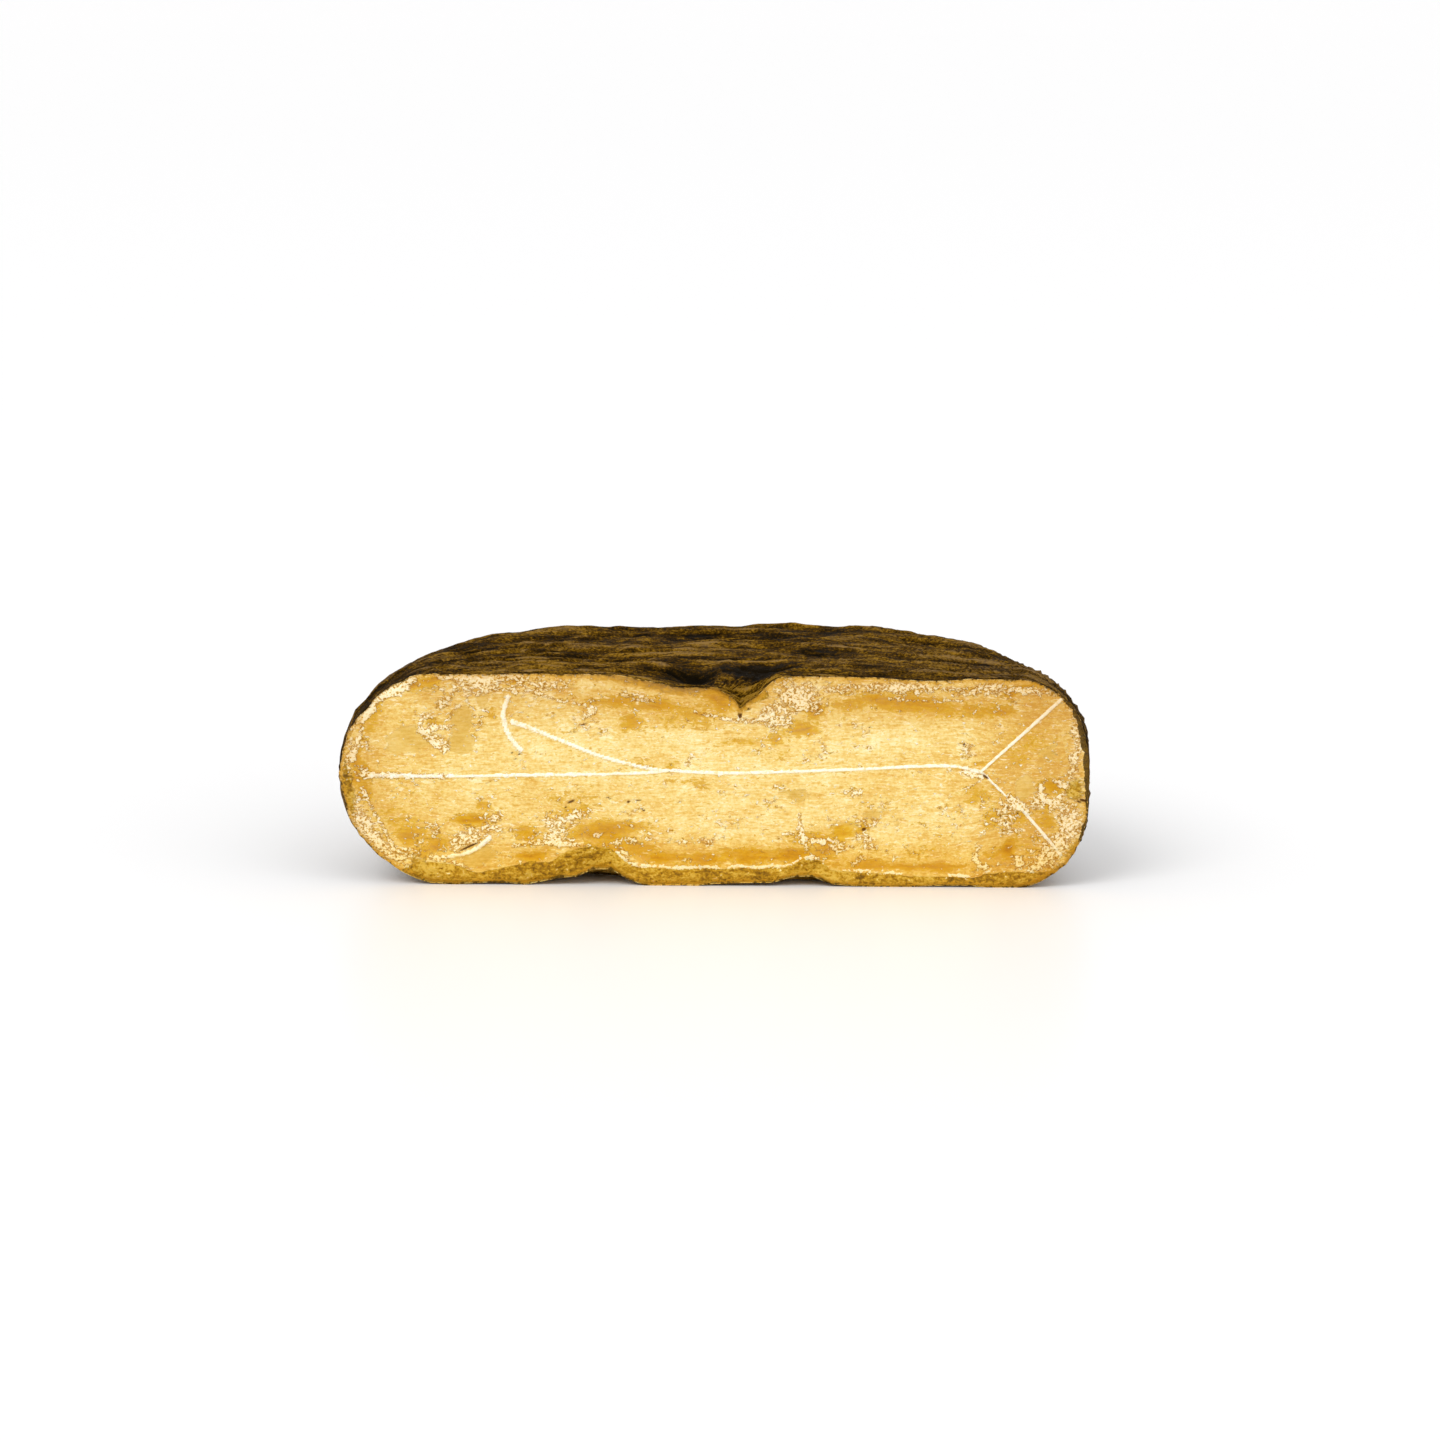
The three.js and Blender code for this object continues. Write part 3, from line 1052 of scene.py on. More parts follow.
        warp, warp_z = noise(1, 9, z / 6, 3), noise(2, 9, z / 6, 3)
        streak, broad = noise(3, 16, flow / 1.7, 4, 0.62), noise(4, 42, flow / 13, 3)
        lace, grain = noise(5, 4.2, z / 3.2, 4, 0.7), noise(6, 2.2, z / 1.8, 3, 0.7)
        spots = noise(7, 15, z / 9, 4, 0.6)
        warped = x + 2.6 * warp, z + 2.2 * warp_z
        crusts, stains, olives = (
            sum(oval.bell(*warped) for oval in OVALS[mark])
            for mark in (Mark.CRUST, Mark.AMBER, Mark.OLIVE)
        )
        plates = sum(oval.plate(*warped) for oval in OVALS[Mark.CLEAR])
        level, under, line = self._band(x, z, grain, spots + 0.5 * lace)
        bead, white, crumbs = self._seams(x, z, 2.4 * grain + 1.2 * warp)
        skin, golden = self._fringes(x, z)

        clear = plates + 0.6 * spots + 0.8 * lace - 0.55
        crust = 0.62 * (crusts + crumbs) - 0.57 + 0.4 * lace + 0.25 * spots
        crust = crust + 0.12 * hump(self.edge / 5) * step(20, 34, z)
        crust = crust + 0.3 * hump((clear + 0.12) / 0.3)
        amber = stains + 0.2 * broad + 0.12 * streak
        pits = np.max([pit.dip(x + 0.5 * warp, z + 0.3 * warp_z) for pit in PITS], axis=0)

        out = 0.12 * streak + 0.4 * broad + 0.12 * grain
        out = out + step(-0.15, 0.2, crust) * (0.24 + 0.2 * grain + 0.36 * lace)
        out = out - 0.25 * np.clip(amber, 0, 1.2) - 0.15 * step(0, 0.2, clear)
        out = out * (1 - 0.5 * under) + 0.35 * line
        curl = self.band_curl * np.clip(level + 0.5 - z, 0, 9) ** 2
        out = out - curl * step(-142, -122, x)
        out = out + 0.7 * under * (lace + 0.3 * grain) + bead * (1 - 0.7 * under) - pits
        out = out - sum(recess.pocket(x, z) for recess in self.recesses)
        out = np.clip(out - self.edge_rounding * hump(self.edge / 1.5), self.least_out, self.most_out)
        return stack(x, self.wheel.cut_y - out, z), {
            "crust": crust - 0.5 * under,
            "clear": clear,
            "amber": amber,
            "bead": white * (1 - 0.7 * under) * (0.9 + 0.5 * grain),
            "line": line,
            # Where shade is painted into the cracks and pits.
            "pit": np.clip(pits / 1.1, 0, 1),
            "skin": skin * (1 + 0.5 * lace) - self.edge,
            "golden": golden * (1 + 0.5 * lace) - self.edge,
            "olive": np.maximum(under, olives + 0.3 * lace),
            # Paler paste in the middle, and painted shade towards the ends, top and bottom.
            "pale": sum(oval.bell(x, z) for oval in OVALS[Mark.PALE_AND_SHADE]) + 0.05 * broad,
            "flow": flow,
        }

    def chart(self) -> Array:
        """Lays the face out as it is seen from in front.

        Returns:
            Where each place lies in the bake's image.
        """
        scale = 0.96 / (2 * self.wheel.half_length)
        x, z = self.places[..., 0], self.places[..., 2]
        return stack(0.5 + scale * x, 0.02 + scale * z)


def ray_lengths(anchor: Array, ray: Array, border: Array) -> Array:
    """How far each ray goes before it leaves a closed border.

    For every ray and every piece of the border, the crossing of two lines in
    a plane is solved, and the furthest crossing that lies on both is kept.

    Args:
        anchor: where each ray starts.
        ray: each ray's direction, of length 1.
        border: the border's corners in order, closed by its first one.

    Returns:
        One length for each ray.
    """
    start, way = border, np.roll(border, -1, axis=0) - border
    to_start = start[None] - anchor[:, None]
    slant = ray[:, None, 0] * way[None, :, 1] - ray[:, None, 1] * way[None, :, 0]
    slant = np.where(np.abs(slant) < 1e-12, 1e-12, slant)
    length = (to_start[..., 0] * way[None, :, 1] - to_start[..., 1] * way[None, :, 0]) / slant
    share = (to_start[..., 0] * ray[:, None, 1] - to_start[..., 1] * ray[:, None, 0]) / slant
    good = (share >= -1e-9) & (share <= 1 + 1e-9) & (length > 0)
    return np.where(good, length, 0).max(axis=1)


# The one closed mesh -----------------------------------------


@dataclass
class HalfWheel:
    """Rind and cut face, sewn into one closed piece."""

    wheel: Wheel = field(default_factory=Wheel)
    cap_radius: float = 43.0
    strip_rows: tuple[float, float] = (0.315, 0.34)

    def build(self) -> bpy.types.Object:
        """Makes the piece and gives it its masks and its bake map.

        Returns:
            The new object, in metres, with no material yet.
        """
        rind = Rind(self.wheel)
        loop = rind.loop()
        border = rind.places.reshape(-1, 3)[loop][:, (0, 2)]
        face = CutFace(self.wheel, border)
        triangles, skins, charts = self._sew(rind, face, loop)
        places = np.concatenate([rind.places.reshape(-1, 3), face.places.reshape(-1, 3)])
        used = np.unique(triangles)
        fresh = np.full(len(places), -1)
        fresh[used] = np.arange(len(used))
        mesh = bpy.data.meshes.new("cheese_half_wheel")
        mesh.from_pydata(places[used] * METRES, [], fresh[triangles])
        mesh.polygons.foreach_set("material_index", skins.astype(np.int32))
        mesh.polygons.foreach_set("use_smooth", np.ones(len(triangles), bool))
        self._write_masks(mesh, rind, face, used)
        layer = mesh.uv_layers.new(name=BAKE_MAP)
        layer.uv.foreach_set("vector", charts.astype(np.float32).ravel())
        mesh.update()
        piece = bpy.data.objects.new(mesh.name, mesh)
        bpy.context.scene.collection.objects.link(piece)
        return piece

    def _sew(self, rind: Rind, face: CutFace, loop: Array) -> tuple[Array, Array, Array]:
        """Triangles of the rind, of the strip between, and of the face's rings.

        Args:
            rind: the outside.
            face: the cut face.
            loop: the rind's vertex numbers around the cut.

        Returns:
            The triangles' corners, each one's skin (the strip's is paste), and
            the corners' places in the bake's image.
        """
        numbers = rind.numbers()
        own = np.arange(numbers.size).reshape(numbers.shape)
        rind_faces = grid_triangles(numbers, False)
        kept = distinct(rind_faces)
        rind_uv = rind.chart().reshape(-1, 2)[grid_triangles(own, False)]
        rind_faces, rind_uv = rind_faces[kept], rind_uv[kept]

        first = numbers.size
        rings = first + np.arange(face.places[..., 0].size).reshape(face.places.shape[:2])
        rings[0] = rings[0, face.spine_numbers()]
        face_faces = grid_triangles(rings.T, True)
        face_faces = face_faces[distinct(face_faces)]
        face_uv = face.chart().reshape(-1, 2)[face_faces - first]

        strip, strip_uv = self._strip(rind, face, rings[-1], loop)
        triangles = np.concatenate([rind_faces, strip, face_faces])
        skins = np.full(len(triangles), Skin.PASTE.value)
        skins[:len(rind_faces)] = Skin.RIND.value
        return triangles, skins, np.concatenate([rind_uv, strip_uv, face_uv])

    def _strip(self, rind: Rind, face: CutFace, ring: Array, loop: Array) -> tuple[Array, Array]:
        """Joins the outermost ring to the rind's edge, point by point.

        Both loops are ordered by their turn about the face. The two lists of
        turns are merged, and each next point makes one triangle with the last
        point of the other loop.

        Args:
            rind: the outside.
            face: the cut face.
            ring: the vertex numbers of the face's outermost ring.
            loop: the rind's vertex numbers around the cut.

        Returns:
            The triangles' corners, and their places in the bake's image.
        """
        outer = self._turn(face, rind.places.reshape(-1, 3)[loop])
        first = int(np.argmin(outer))
        loop, outer = np.roll(loop, -first), np.roll(outer, -first)
        inner = self._turn(face, face.places[-1])
        inner, outer = (np.append(np.maximum.accumulate(turn), 1.0) for turn in (inner, outer))
        order = np.argsort(np.concatenate([inner[1:], outer[1:]]), kind="stable")
        on_ring = order < len(ring)
        a = np.cumsum(on_ring) - on_ring
        b = np.cumsum(~on_ring) - ~on_ring
        ring, loop = np.append(ring, ring[0]), np.append(loop, loop[0])
        after_a, after_b = np.minimum(a + 1, len(ring) - 1), np.minimum(b + 1, len(loop) - 1)
        strip = stack(ring[a], np.where(on_ring, ring[after_a], loop[after_b]), loop[b])
        u = stack(inner[a], np.where(on_ring, inner[after_a], outer[after_b]), outer[b])
        low, high = self.strip_rows
        v = stack(low, np.where(on_ring, low, high), high)
        return strip, stack(0.02 + 0.96 * u, v)

    def _turn(self, face: CutFace, places: Array) -> Array:
        """How far round the border places are, clockwise from the spine's left
        end: lengths along the straights, and turns at the ends.

        Args:
            face: the cut face, which holds the spine.
            places: places on or near the border.

        Returns:
            Each place's share of the whole way round, 0 to 1.
        """
        x, z = places[:, 0], places[:, 2]
        reach, spine = face.reach, np.interp(x, face.along, face.spine_z)
        half = 2 * reach + np.pi * self.cap_radius
        right = 2 * reach + self.cap_radius * (np.pi / 2 - np.arctan2(z - spine, x - reach))
        left_turn = np.arctan2(z - spine, x + reach) % (2 * np.pi)
        left = half + 2 * reach + self.cap_radius * (3 * np.pi / 2 - left_turn)
        middle = np.where(z > spine, x + reach, half + reach - x)
        return np.where(x > reach, right, np.where(x < -reach, left, middle)) / (2 * half)

    def _write_masks(self, mesh: bpy.types.Mesh, rind: Rind, face: CutFace, used: Array) -> None:
        """Writes each mask as a number at every vertex, with 0 on the other
        skin, so that the two finishes can read them.

        Args:
            mesh: the piece's mesh.
            rind: the outside, with its masks.
            face: the cut face, with its masks.
            used: the numbers of the places that became vertices.
        """
        sizes = rind.places[..., 0].size, face.places[..., 0].size
        for part, padding in ((rind, (0, sizes[1])), (face, (sizes[0], 0))):
            for name, values in part.marks.items():
                full = np.pad(values.ravel(), padding)[used]
                layer = mesh.attributes.new(name, "FLOAT", "POINT")
                layer.data.foreach_set("value", full.astype(np.float32))


def grid_triangles(numbers: Array, closed: bool) -> Array:
    """Two triangles for each cell of a grid of vertex numbers.

    Args:
        numbers: the grid, by rows.
        closed: whether the first row follows the last one.

    Returns:
        The triangles' corners. They turn from columns to rows in an open grid
        and from rows to columns in a closed one.
    """
    after = np.roll(numbers, -1, axis=0)
    if not closed:
        numbers, after = numbers[:-1], after[:-1]
    a, b = numbers[:, :-1], numbers[:, 1:]
    d, c = after[:, :-1], after[:, 1:]
    if closed:
        first = np.stack([a, d, c], axis=-1)
        second = np.stack([a, c, b], axis=-1)
    else:
        first = np.stack([a, b, c], axis=-1)
        second = np.stack([a, c, d], axis=-1)
    return np.concatenate([first.reshape(-1, 3), second.reshape(-1, 3)])


def distinct(triangles: Array) -> Array:
    """Which triangles have three different corners."""
    a, b, c = triangles.T
    return (a != b) & (b != c) & (c != a)


# Material sums -----------------------------------------------


class Value:
    """A number in a material, on which Python sums add Math nodes."""

    def __init__(self, graph: "Graph", socket: bpy.types.NodeSocket) -> None:
        """Keeps the socket that gives the number."""
        self.graph = graph
        self.socket = socket

    def _math(self, operation: str, *numbers: "Value | float") -> "Value":
        """Adds one Math node for an operation on numbers."""
        node = self.graph.node("ShaderNodeMath", {"operation": operation}, dict(enumerate(numbers)))
        return Value(self.graph, node.outputs[0])

    def __add__(self, other: "Value | float") -> "Value":
        """The sum."""
        return self._math("ADD", self, other)

    __radd__ = __add__

    def __sub__(self, other: "Value | float") -> "Value":
        """The difference."""
        return self._math("SUBTRACT", self, other)

    def __rsub__(self, other: float) -> "Value":
        """The difference, from a plain number."""
        return self._math("SUBTRACT", other, self)

    def __mul__(self, other: "Value | float") -> "Value":
        """The product."""
        return self._math("MULTIPLY", self, other)

    __rmul__ = __mul__

    def step(self, low: float, high: float, start: float = 0.0, end: float = 1.0) -> "Value":
        """A smooth step between two numbers.

        Args:
            low: where the step starts.
            high: where it ends. It may be the lower one.
            start: the number before the step.
            end: the number after it.

        Returns:
            The stepped number.
        """
        settings = {"interpolation_type": "SMOOTHSTEP"}
        sockets = {0: self, 1: low, 2: high, 3: start, 4: end}
        node = self.graph.node("ShaderNodeMapRange", settings, sockets)
        return Value(self.graph, node.outputs[0])


class Graph:
    """A material's node tree, and the one way that nodes are added to it."""

    def __init__(self, name: str) -> None:
        """Starts a material with an empty node tree.

        Args:
            name: the material's name.
        """
        self.material = bpy.data.materials.new(name)
        self.material.use_nodes = True
        self.tree = self.material.node_tree
        self.tree.nodes.clear()

    def node(self, kind: str, settings: dict, sockets: dict) -> bpy.types.Node:
        """Adds a node of any kind.

        Args:
            kind: the node's type.
            settings: its properties, set first. "stops" fills a colour ramp.
            sockets: the value or link of each input, by name or number.

        Returns:
            The new node.
        """
        node = self.tree.nodes.new(kind)
        for name, setting in settings.items():
            if name == "stops":
                self._fill_ramp(node.color_ramp, setting)
            else:
                setattr(node, name, setting)
        for name, given in sockets.items():
            if isinstance(given, Value):
                given = given.socket
            if isinstance(given, bpy.types.NodeSocket):
                self.tree.links.new(given, node.inputs[name])
            else:
                node.inputs[name].default_value = given
        return node

    @staticmethod
    def _fill_ramp(ramp: bpy.types.ColorRamp, stops: Stops) -> None:
        """Gives a ramp its stops.

        Args:
            ramp: a new colour ramp, which has two stops.
            stops: for each one, its place from 0 to 1 and its colour.
        """
        while len(ramp.elements) < len(stops):
            ramp.elements.new(1.0)
        for element, (place, colour) in zip(ramp.elements, stops):
            element.position = place
            element.color = (*linear(colour), 1.0)

    def mask(self, name: str) -> Value:
        """A mask that the mesh carries."""
        node = self.node("ShaderNodeAttribute", {"attribute_name": name}, {})
        return Value(self, node.outputs["Fac"])

    def place(self) -> tuple[bpy.types.NodeSocket, Value, Value, Value]:
        """The place on the object in millimetres.

        Returns:
            The whole place, then its three numbers one by one.
        """
        coordinates = self.node("ShaderNodeTexCoord", {}, {})
        sockets = {"Vector": coordinates.outputs["Object"], "Scale": (1 / METRES,) * 3}
        place = self.node("ShaderNodeMapping", {}, sockets).outputs[0]
        axes = self.node("ShaderNodeSeparateXYZ", {}, {0: place}).outputs
        return place, *(Value(self, axis) for axis in axes)

    def joined(self, x: Value | float, y: Value | float, z: Value | float) -> bpy.types.NodeSocket:
        """Three numbers as one place."""
        return self.node("ShaderNodeCombineXYZ", {}, {0: x, 1: y, 2: z}).outputs[0]

    def noise(self, place: bpy.types.NodeSocket, detail: float, rough: float,
              warp: float = 0.0, scale: float = 1.0) -> Value:
        """Fractal noise about 0.

        Args:
            place: where the noise is read.
            detail: how many finer octaves it has.
            rough: how strong the finer ones are.
            warp: how far the noise bends itself.
            scale: its cells for each unit of place.

        Returns:
            The noise, about -0.5 to 0.5.
        """
        sockets = {"Vector": place, "Scale": scale, "Detail": detail,
                   "Roughness": rough, "Distortion": warp}
        return Value(self, self.node("ShaderNodeTexNoise", {}, sockets).outputs[0]) - 0.5

    def ramp(self, value: Value, stops: Stops) -> bpy.types.NodeSocket:
        """A colour that follows a number through the stops of a ramp."""
        return self.node("ShaderNodeValToRGB", {"stops": stops}, {0: value}).outputs[0]

    def blend(self, share: Value | float, base: bpy.types.NodeSocket | Colour,
              over: bpy.types.NodeSocket | Colour, mode: str = "MIX") -> bpy.types.NodeSocket:
        """One colour over another.

        Args:
            share: how much of the upper colour shows, 0 to 1.
            base: the colour below.
            over: the colour above.
            mode: how the two are joined.

        Returns:
            The joined colour.
        """
        base, over = (c if isinstance(c, bpy.types.NodeSocket) else (*linear(c), 1.0)
                      for c in (base, over))
        settings = {"data_type": "RGBA", "blend_type": mode, "clamp_factor": True}
        return self.node("ShaderNodeMix", settings, {0: share, 6: base, 7: over}).outputs[2]

    def finish(self, colour: bpy.types.NodeSocket, rough: Value, height: Value,
               fixed: dict) -> bpy.types.Material:
        """Closes the material with its shader.

        Args:
            colour: the base colour.
            rough: the roughness.
            height: the fine relief, in millimetres.
            fixed: what is the same all over, by the shader's socket names.

        Returns:
            The finished material.
        """
        bump = self.node("ShaderNodeBump", {}, {"Height": height, "Distance": METRES})
        sockets = {"Base Color": colour, "Roughness": rough, "Normal": bump.outputs[0]}
        shader = self.node("ShaderNodeBsdfPrincipled", {}, {**sockets, **fixed})
        self.node("ShaderNodeOutputMaterial", {}, {"Surface": shader.outputs[0]})
        return self.material


def linear(colour: Colour) -> Colour:
    """Turns a colour as a screen shows it into the light it stands for.

    Args:
        colour: red, green and blue, 0 to 255.

    Returns:
        Their amounts of light, 0 to 1.
    """
    parts = np.array(colour) / 255
    light = np.where(parts <= 0.04045, parts / 12.92, ((parts + 0.055) / 1.055) ** 2.4)
    return tuple(float(part) for part in light)


# Finishes ----------------------------------------------------


@dataclass(frozen=True)
class PasteFinish:
    """The cut paste: drawn fibres, amber stains, waxy spots and dry bloom, with painted shade towards
    its ends, under the rind, towards the bottom and in its cracks and pits, and a painted shadow
    around the bloom.
    """

    fibres: Stops = (
        (0.26, (212, 164, 72)),
        (0.38, (225, 186, 98)),
        (0.50, (235, 208, 132)),
        (0.62, (243, 224, 164)),
        (0.76, (250, 239, 200)),
    )
    amber: Stops = (
        (0.2, (220, 176, 44)),
        (0.5, (206, 152, 16)),
        (0.9, (182, 122, 4)),
    )
    clear: Stops = (
        (0.3, (202, 160, 66)),
        (0.5, (216, 178, 88)),
        (0.7, (228, 196, 116)),
    )
    crust: Stops = (
        (0.36, (176, 124, 38)),
        (0.45, (216, 176, 94)),
        (0.54, (238, 212, 150)),
        (0.68, (250, 239, 204)),
    )
    fleck: Colour = (250, 238, 194)
    bead: Stops = ((0.3, (240, 216, 160)), (0.5, (253, 244, 216)), (0.7, (255, 251, 236)))
    olive: Stops = (
        (0.28, (108, 78, 0)),
        (0.42, (152, 112, 4)),
        (0.54, (188, 145, 16)),
        (0.70, (220, 187, 86)),
    )
    golden: Stops = ((0.0, (216, 168, 58)), (0.3, (192, 142, 22)), (0.7, (138, 92, 0)))
    # Painted shadow: the brown laid in a rim just outside the dry bloom, where its lumps would shade
    # the paste.
    crust_edge_shadow: Colour = (178, 118, 18)
    # Painted shade, multiplied over the paste towards its two ends and just under the rind along the
    # top.
    painted_shade: Colour = (238, 226, 208)
    # Painted shade, warm, multiplied over the paste towards the bottom of the face.
    low_painted_shade: Colour = (250, 238, 190)
    # Painted shade inside the cracks and pits.
    pit: Colour = (104, 62, 6)
    rind: Stops = ((0.4, (48, 32, 2)), (0.6, (116, 88, 16)))

    def build(self) -> bpy.types.Material:
        """Lays the finish up from the fibres to the skin at the edge.

        Returns:
            The new material.
        """
        g = Graph("cheese_paste")
        place, x, _, z = g.place()
        flow = g.mask("flow")
        streak = g.noise(g.joined(x * 0.09, 0.0, flow * 0.55), 4.0, 0.6, 0.6)
        hair = g.noise(g.joined(x * 0.22, 5.0, flow * 1.5), 3.0, 0.55, 0.5)
        flecks = g.noise(g.joined(x * 0.24, 9.0, flow * 0.75), 4.0, 0.6, 0.7)
        wisps = g.noise(g.joined(x * 0.42, 2.0, flow * 1.15), 3.0, 0.6, 0.9)
        pop = g.noise(g.joined(x * 0.38, 3.0, z * 0.5), 3.0, 0.6, 0.7)
        bit = g.noise(g.joined(x * 0.8, 8.0, z), 2.0, 0.5, 0.4)
        grain = g.noise(place, 3.0, 0.62, scale=1.5)
        cloud = g.noise(place, 4.0, 0.6, scale=0.075)
        crust_mask, amber_mask = g.mask("crust"), g.mask("amber")

        tone = 0.45 + 0.5 * streak + 0.5 * hair + 0.4 * bit + 0.4 * pop + 0.4 * cloud
        # The tone is raised where the paste is paler and lowered as painted shade towards the ends,
        # top and bottom.
        colour = g.ramp(tone + g.mask("pale"), self.fibres)
        fleck = (flecks + 0.4 * cloud + 0.15 * crust_mask).step(0.02, 0.08, 0, 0.55)
        wisp = (wisps + 0.4 * flecks + 0.1 * crust_mask).step(0.06, 0.12, 0, 0.6)
        colour = g.blend(wisp, g.blend(fleck, colour, self.fleck), self.fleck)

        stain = amber_mask + 2.0 * streak + 2.6 * pop + 1.4 * hair
        stain = stain + crust_mask.step(-0.5, 0.0, 0, 0.35)
        shade = g.ramp(0.1 + 0.4 * amber_mask + 1.2 * streak + 0.8 * pop, self.amber)
        colour = g.blend(stain.step(0.3, 0.66, 0, 0.86), colour, shade)
        clear = (g.mask("clear") + 1.3 * pop + 0.5 * bit).step(-0.06, 0.08)
        wax = g.ramp(0.5 + 0.9 * cloud + 0.6 * hair + 0.4 * pop, self.clear)
        wax = g.blend(amber_mask.step(0.15, 0.6), wax, shade)
        colour = g.blend(clear * 0.8, colour, wax)

        growth = crust_mask + 3.0 * pop + bit
        crust = growth.step(-0.05, 0.12) * (1 - 0.25 * clear)
        # Painted shadow in a rim just outside the dry bloom.
        crust_edge_shadow = growth.step(-0.26, -0.06) * (1 - crust) * crust_mask.step(-0.35, 0.0)
        colour = g.blend(crust_edge_shadow * 0.82, colour, self.crust_edge_shadow)
        dry = g.ramp(0.47 + 1.2 * bit + grain + 0.3 * growth, self.crust)
        colour = g.blend(crust * 0.92, colour, dry)

        olive = (g.mask("olive") + 1.2 * pop).step(0.35, 0.62)
        skirt = 0.52 + 0.5 * bit + 0.9 * pop + 0.9 * cloud + 0.35 * grain + 0.5 * streak
        colour = g.blend(olive * 0.94, colour, g.ramp(skirt, self.olive))
        cream = g.ramp(0.55 + 1.2 * pop + 0.6 * grain, self.bead)
        line = (g.mask("line") + 2.4 * pop + 1.2 * bit).step(0.42, 0.62)
        colour = g.blend(line * 0.85, colour, cream)

        rim = g.mask("golden") + 6.0 * pop + 2.0 * bit
        tint = g.ramp(0.22 * rim + 0.5 * streak, self.golden)
        colour = g.blend(rim.step(-0.4, 0.9, 0, 0.8) * (1 - 0.5 * crust), colour, tint)
        colour = g.blend(g.mask("bead").step(0.25, 0.8, 0, 0.96), colour, cream)
        # Painted shade: the cracks and pits are darkened as if in their own shadow.
        pit = (g.mask("pit") + 0.5 * grain).step(0.22, 0.75, 0, 0.92)
        colour = g.blend(pit, colour, self.pit)
        skin = (g.mask("skin") + 2.0 * pop).step(-0.12, 0.16, 0, 0.96)
        colour = g.blend(skin, colour, g.ramp(0.5 + 0.5 * grain + 0.5 * pop, self.rind))

        # Painted shade: the paste is darkened towards its right and left ends and under the rind
        # along the top.
        right, left = x.step(90, 150, 0, 0.7), x.step(-122, -148, 0, 0.8)
        above = z.step(58, 80, 0, 0.8) * x.step(-132, -108)
        for share in (right, above, left):
            colour = g.blend(share, colour, self.painted_shade, "MULTIPLY")
        # Painted shade: warmer and darker towards the bottom of the face.
        colour = g.blend(z.step(26, 8, 0, 0.85), colour, self.low_painted_shade, "MULTIPLY")
        waxy = (clear + stain.step(0.5, 0.9)).step(0.1, 1.0) * (1 - crust)
        rough = 0.5 - 0.16 * waxy + 0.22 * crust + 0.2 * grain
        height = 0.12 + 0.14 * hair + 0.1 * streak + growth.step(-0.15, 0.3) * (0.2 + 0.2 * pop)
        height = height * (1.1 - 0.7 * waxy) + 0.06 * grain
        height = height + olive * (0.3 + 0.4 * pop + 0.2 * bit)
        fixed = {
            "Subsurface Weight": 0.06,
            "Subsurface Radius": (1.0, 0.55, 0.18),
            "Subsurface Scale": 0.001,
            "IOR": 1.44,
            "Specular IOR Level": 0.16,
        }
        return g.finish(colour, rough, height, fixed)


@dataclass(frozen=True)
class RindFinish:
    """The rind: dark olive-brown, with greyish bloom and a painted highlight on its crests, and
    painted shade in its folds.
    """

    skin: Stops = (
        (0.24, (20, 12, 0)),
        (0.40, (44, 28, 0)),
        (0.54, (76, 51, 2)),
        (0.66, (110, 78, 8)),
        (0.80, (150, 112, 32)),
    )
    # Greyish bloom on the crests, which also paints a highlight there.
    bloom: Colour = (124, 103, 78)
    # Painted shade in the folds.
    crease_shade_colour: Colour = (8, 4, 0)
    sole: Stops = ((0.3, (104, 74, 14)), (0.5, (152, 114, 34)), (0.7, (200, 162, 78)))

    def build(self) -> bpy.types.Material:
        """Lays the finish up from the skin's tone to its bloom, its painted crest highlights and the
        painted shade in its folds.

        Returns:
            The new material.
        """
        g = Graph("cheese_rind")
        place, x, y, _ = g.place()
        across = g.mask("across")
        line = g.noise(g.joined(across * 0.13, x * 0.024, y * 0.024), 4.0, 0.6, 0.3)
        thread = g.noise(g.joined(across * 0.42, x * 0.12, y * 0.12), 4.0, 0.62, 0.3)
        grain = g.noise(place, 4.0, 0.68, scale=0.9)
        cloud = g.noise(place, 4.0, 0.6, scale=0.04)
        crest, navel, under = g.mask("crest"), g.mask("navel"), g.mask("under")
        pleat = g.mask("pleat")

        # The tone rises on the crests and the pleats' ridges, partly as painted light on the relief.
        tone = 0.34 + 0.34 * crest + 0.8 * line + 0.9 * thread + 1.3 * grain + 0.6 * cloud
        # Painted shade darkens the navel, and the pleats' ridges are painted lighter.
        colour = g.ramp(tone - 0.45 * navel + 0.6 * pleat, self.skin)
        ends = (x * x).step(6500, 19000, 0, 0.22)
        # Greyish bloom with a painted highlight on the crests, more towards the ends.
        crest_bloom_and_highlight = crest + 1.8 * thread + 1.2 * line - 0.5 * navel + ends
        colour = g.blend(crest_bloom_and_highlight.step(0.74, 1.15, 0, 0.45), colour, self.bloom)
        # Painted shade: the folds between the wrinkles and pleats are blackened.
        fold_shade_share = crest + 1.3 * line + 0.9 * thread - 0.3 * navel + 0.6 * pleat
        colour = g.blend(fold_shade_share.step(0.3, 0.0, 0, 0.7), colour, self.crease_shade_colour)
        sole = g.ramp(0.5 + 0.8 * cloud + grain, self.sole)
        colour = g.blend(under * 0.85, colour, sole)

        rough = 0.7 + 0.3 * grain + 0.2 * thread
        height = 1.65 + 1.6 * line + thread + 0.7 * grain
        fixed = {"IOR": 1.45, "Specular IOR Level": 0.03}
        return g.finish(colour, rough, height * (1 - 0.6 * under), fixed)


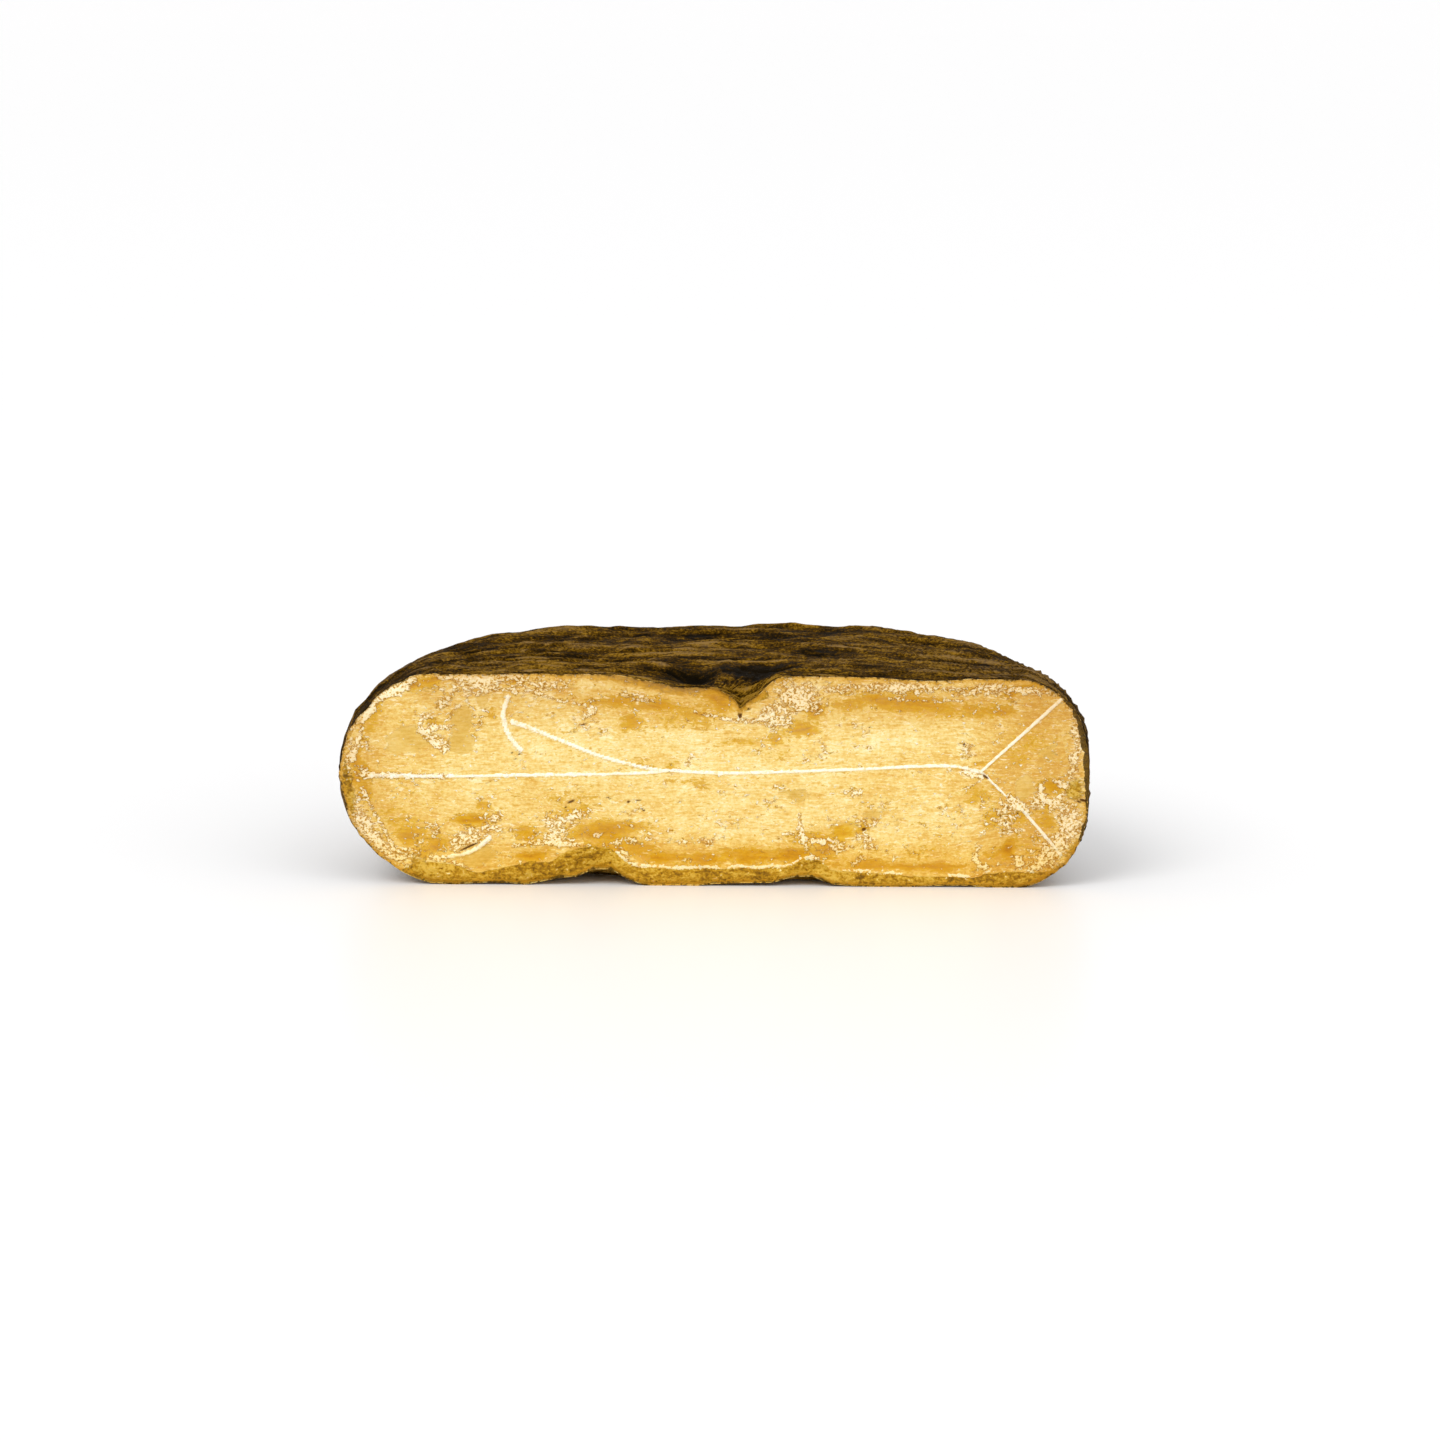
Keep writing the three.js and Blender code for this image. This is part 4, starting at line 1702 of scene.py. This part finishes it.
@dataclass(frozen=True)
class FloorFinish:
    """A plain pale table top with a faint sheen."""

    colour: Colour = (250, 250, 251)

    def build(self) -> bpy.types.Material:
        """Makes the finish from one plain shader.

        Returns:
            The new material.
        """
        g = Graph("pale_floor")
        sockets = {"Base Color": (*linear(self.colour), 1.0), "Roughness": 0.35,
                   "Specular IOR Level": 0.3}
        shader = g.node("ShaderNodeBsdfPrincipled", {}, sockets)
        g.node("ShaderNodeOutputMaterial", {}, {"Surface": shader.outputs[0]})
        return g.material


# The studio --------------------------------------------------


@dataclass(frozen=True)
class BroadLight:
    """A wide, even light from far away, like a large softbox.

    Its bearing is an angle to the right of straight ahead of the cut, its
    width the angle that it fills, both in degrees as its height is.
    """

    name: str
    bearing: float
    height: float
    width: float
    strength: float
    colour: Colour = (1.0, 1.0, 1.0)

    def build(self) -> None:
        """Adds the light, which shines towards the cheese."""
        lamp = bpy.data.lights.new(self.name, "SUN")
        lamp.angle = np.radians(self.width)
        lamp.energy = self.strength
        lamp.color = self.colour
        holder = bpy.data.objects.new(self.name, lamp)
        holder.rotation_euler = (np.radians(90 - self.height), 0, np.radians(self.bearing))
        bpy.context.scene.collection.objects.link(holder)


@dataclass(frozen=True)
class Studio:
    """Pale floor, broad soft lights, even surroundings and the camera."""

    camera_distance: float = 2.0
    camera_elevation: float = 10.5
    camera_roll: float = 0.34
    aim: tuple[float, float] = (0.002, 0.068)
    seen_width: float = 0.576
    surroundings: float = 0.8
    floor_half: float = 14.0
    lights: tuple[BroadLight, ...] = (
        BroadLight("key_left", -38, 42, 34, 1.25, (1.0, 0.985, 0.96)),
        BroadLight("fill_right", 46, 30, 50, 0.45, (1.0, 0.99, 0.98)),
    )

    def build(self) -> None:
        """Adds everything that isn't the cheese."""
        scene = bpy.context.scene
        scene.view_settings.view_transform = "Standard"
        self._floor()
        for light in self.lights:
            light.build()
        world = bpy.data.worlds.new("even_surroundings")
        world.use_nodes = True
        background = world.node_tree.nodes["Background"]
        background.inputs["Color"].default_value = (1.0, 1.0, 1.0, 1.0)
        background.inputs["Strength"].default_value = self.surroundings
        scene.world = world
        scene.camera = self._camera()

    def _floor(self) -> None:
        """Adds the floor, one square face under the cheese."""
        half = self.floor_half
        corners = [(-half, -half, 0), (half, -half, 0), (half, half, 0), (-half, half, 0)]
        mesh = bpy.data.meshes.new("floor")
        mesh.from_pydata(corners, [], [(0, 1, 2, 3)])
        mesh.materials.append(FloorFinish().build())
        floor = bpy.data.objects.new("floor", mesh)
        bpy.context.scene.collection.objects.link(floor)

    def _camera(self) -> bpy.types.Object:
        """A long lens, level with the cut's middle and a little above it.

        Returns:
            The camera, which stands straight in front of the cut.
        """
        lens = bpy.data.cameras.new("camera")
        pitch = np.radians(self.camera_elevation)
        lens.sensor_width = 36.0
        lens.lens = lens.sensor_width * self.camera_distance / np.cos(pitch) / self.seen_width
        lens.clip_end = 100.0
        camera = bpy.data.objects.new("camera", lens)
        cut_y = CAD_BOX[0].y
        height = self.aim[1] + self.camera_distance * np.tan(pitch)
        camera.location = (self.aim[0], cut_y - self.camera_distance, height)
        look = Euler((np.pi / 2 - pitch, 0, 0)).to_matrix().to_4x4()
        roll = Matrix.Rotation(np.radians(self.camera_roll), 4, "Z")
        camera.rotation_euler = (look @ roll).to_euler()
        bpy.context.scene.collection.objects.link(camera)
        return camera


def main() -> None:
    """Builds the cheese and the studio, and reports each piece."""
    logging.basicConfig(level=logging.INFO, format="%(name)s: %(message)s")
    piece = HalfWheel().build()
    LOG.info("%s: %d triangles", piece.name, len(piece.data.polygons))
    finishes = {Skin.RIND: RindFinish(), Skin.PASTE: PasteFinish()}
    for skin in Skin:
        piece.data.materials.append(finishes[skin].build())
    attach(piece, BODY)
    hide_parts(NODE)
    Studio().build()


if __name__ == "__main__":
    main()
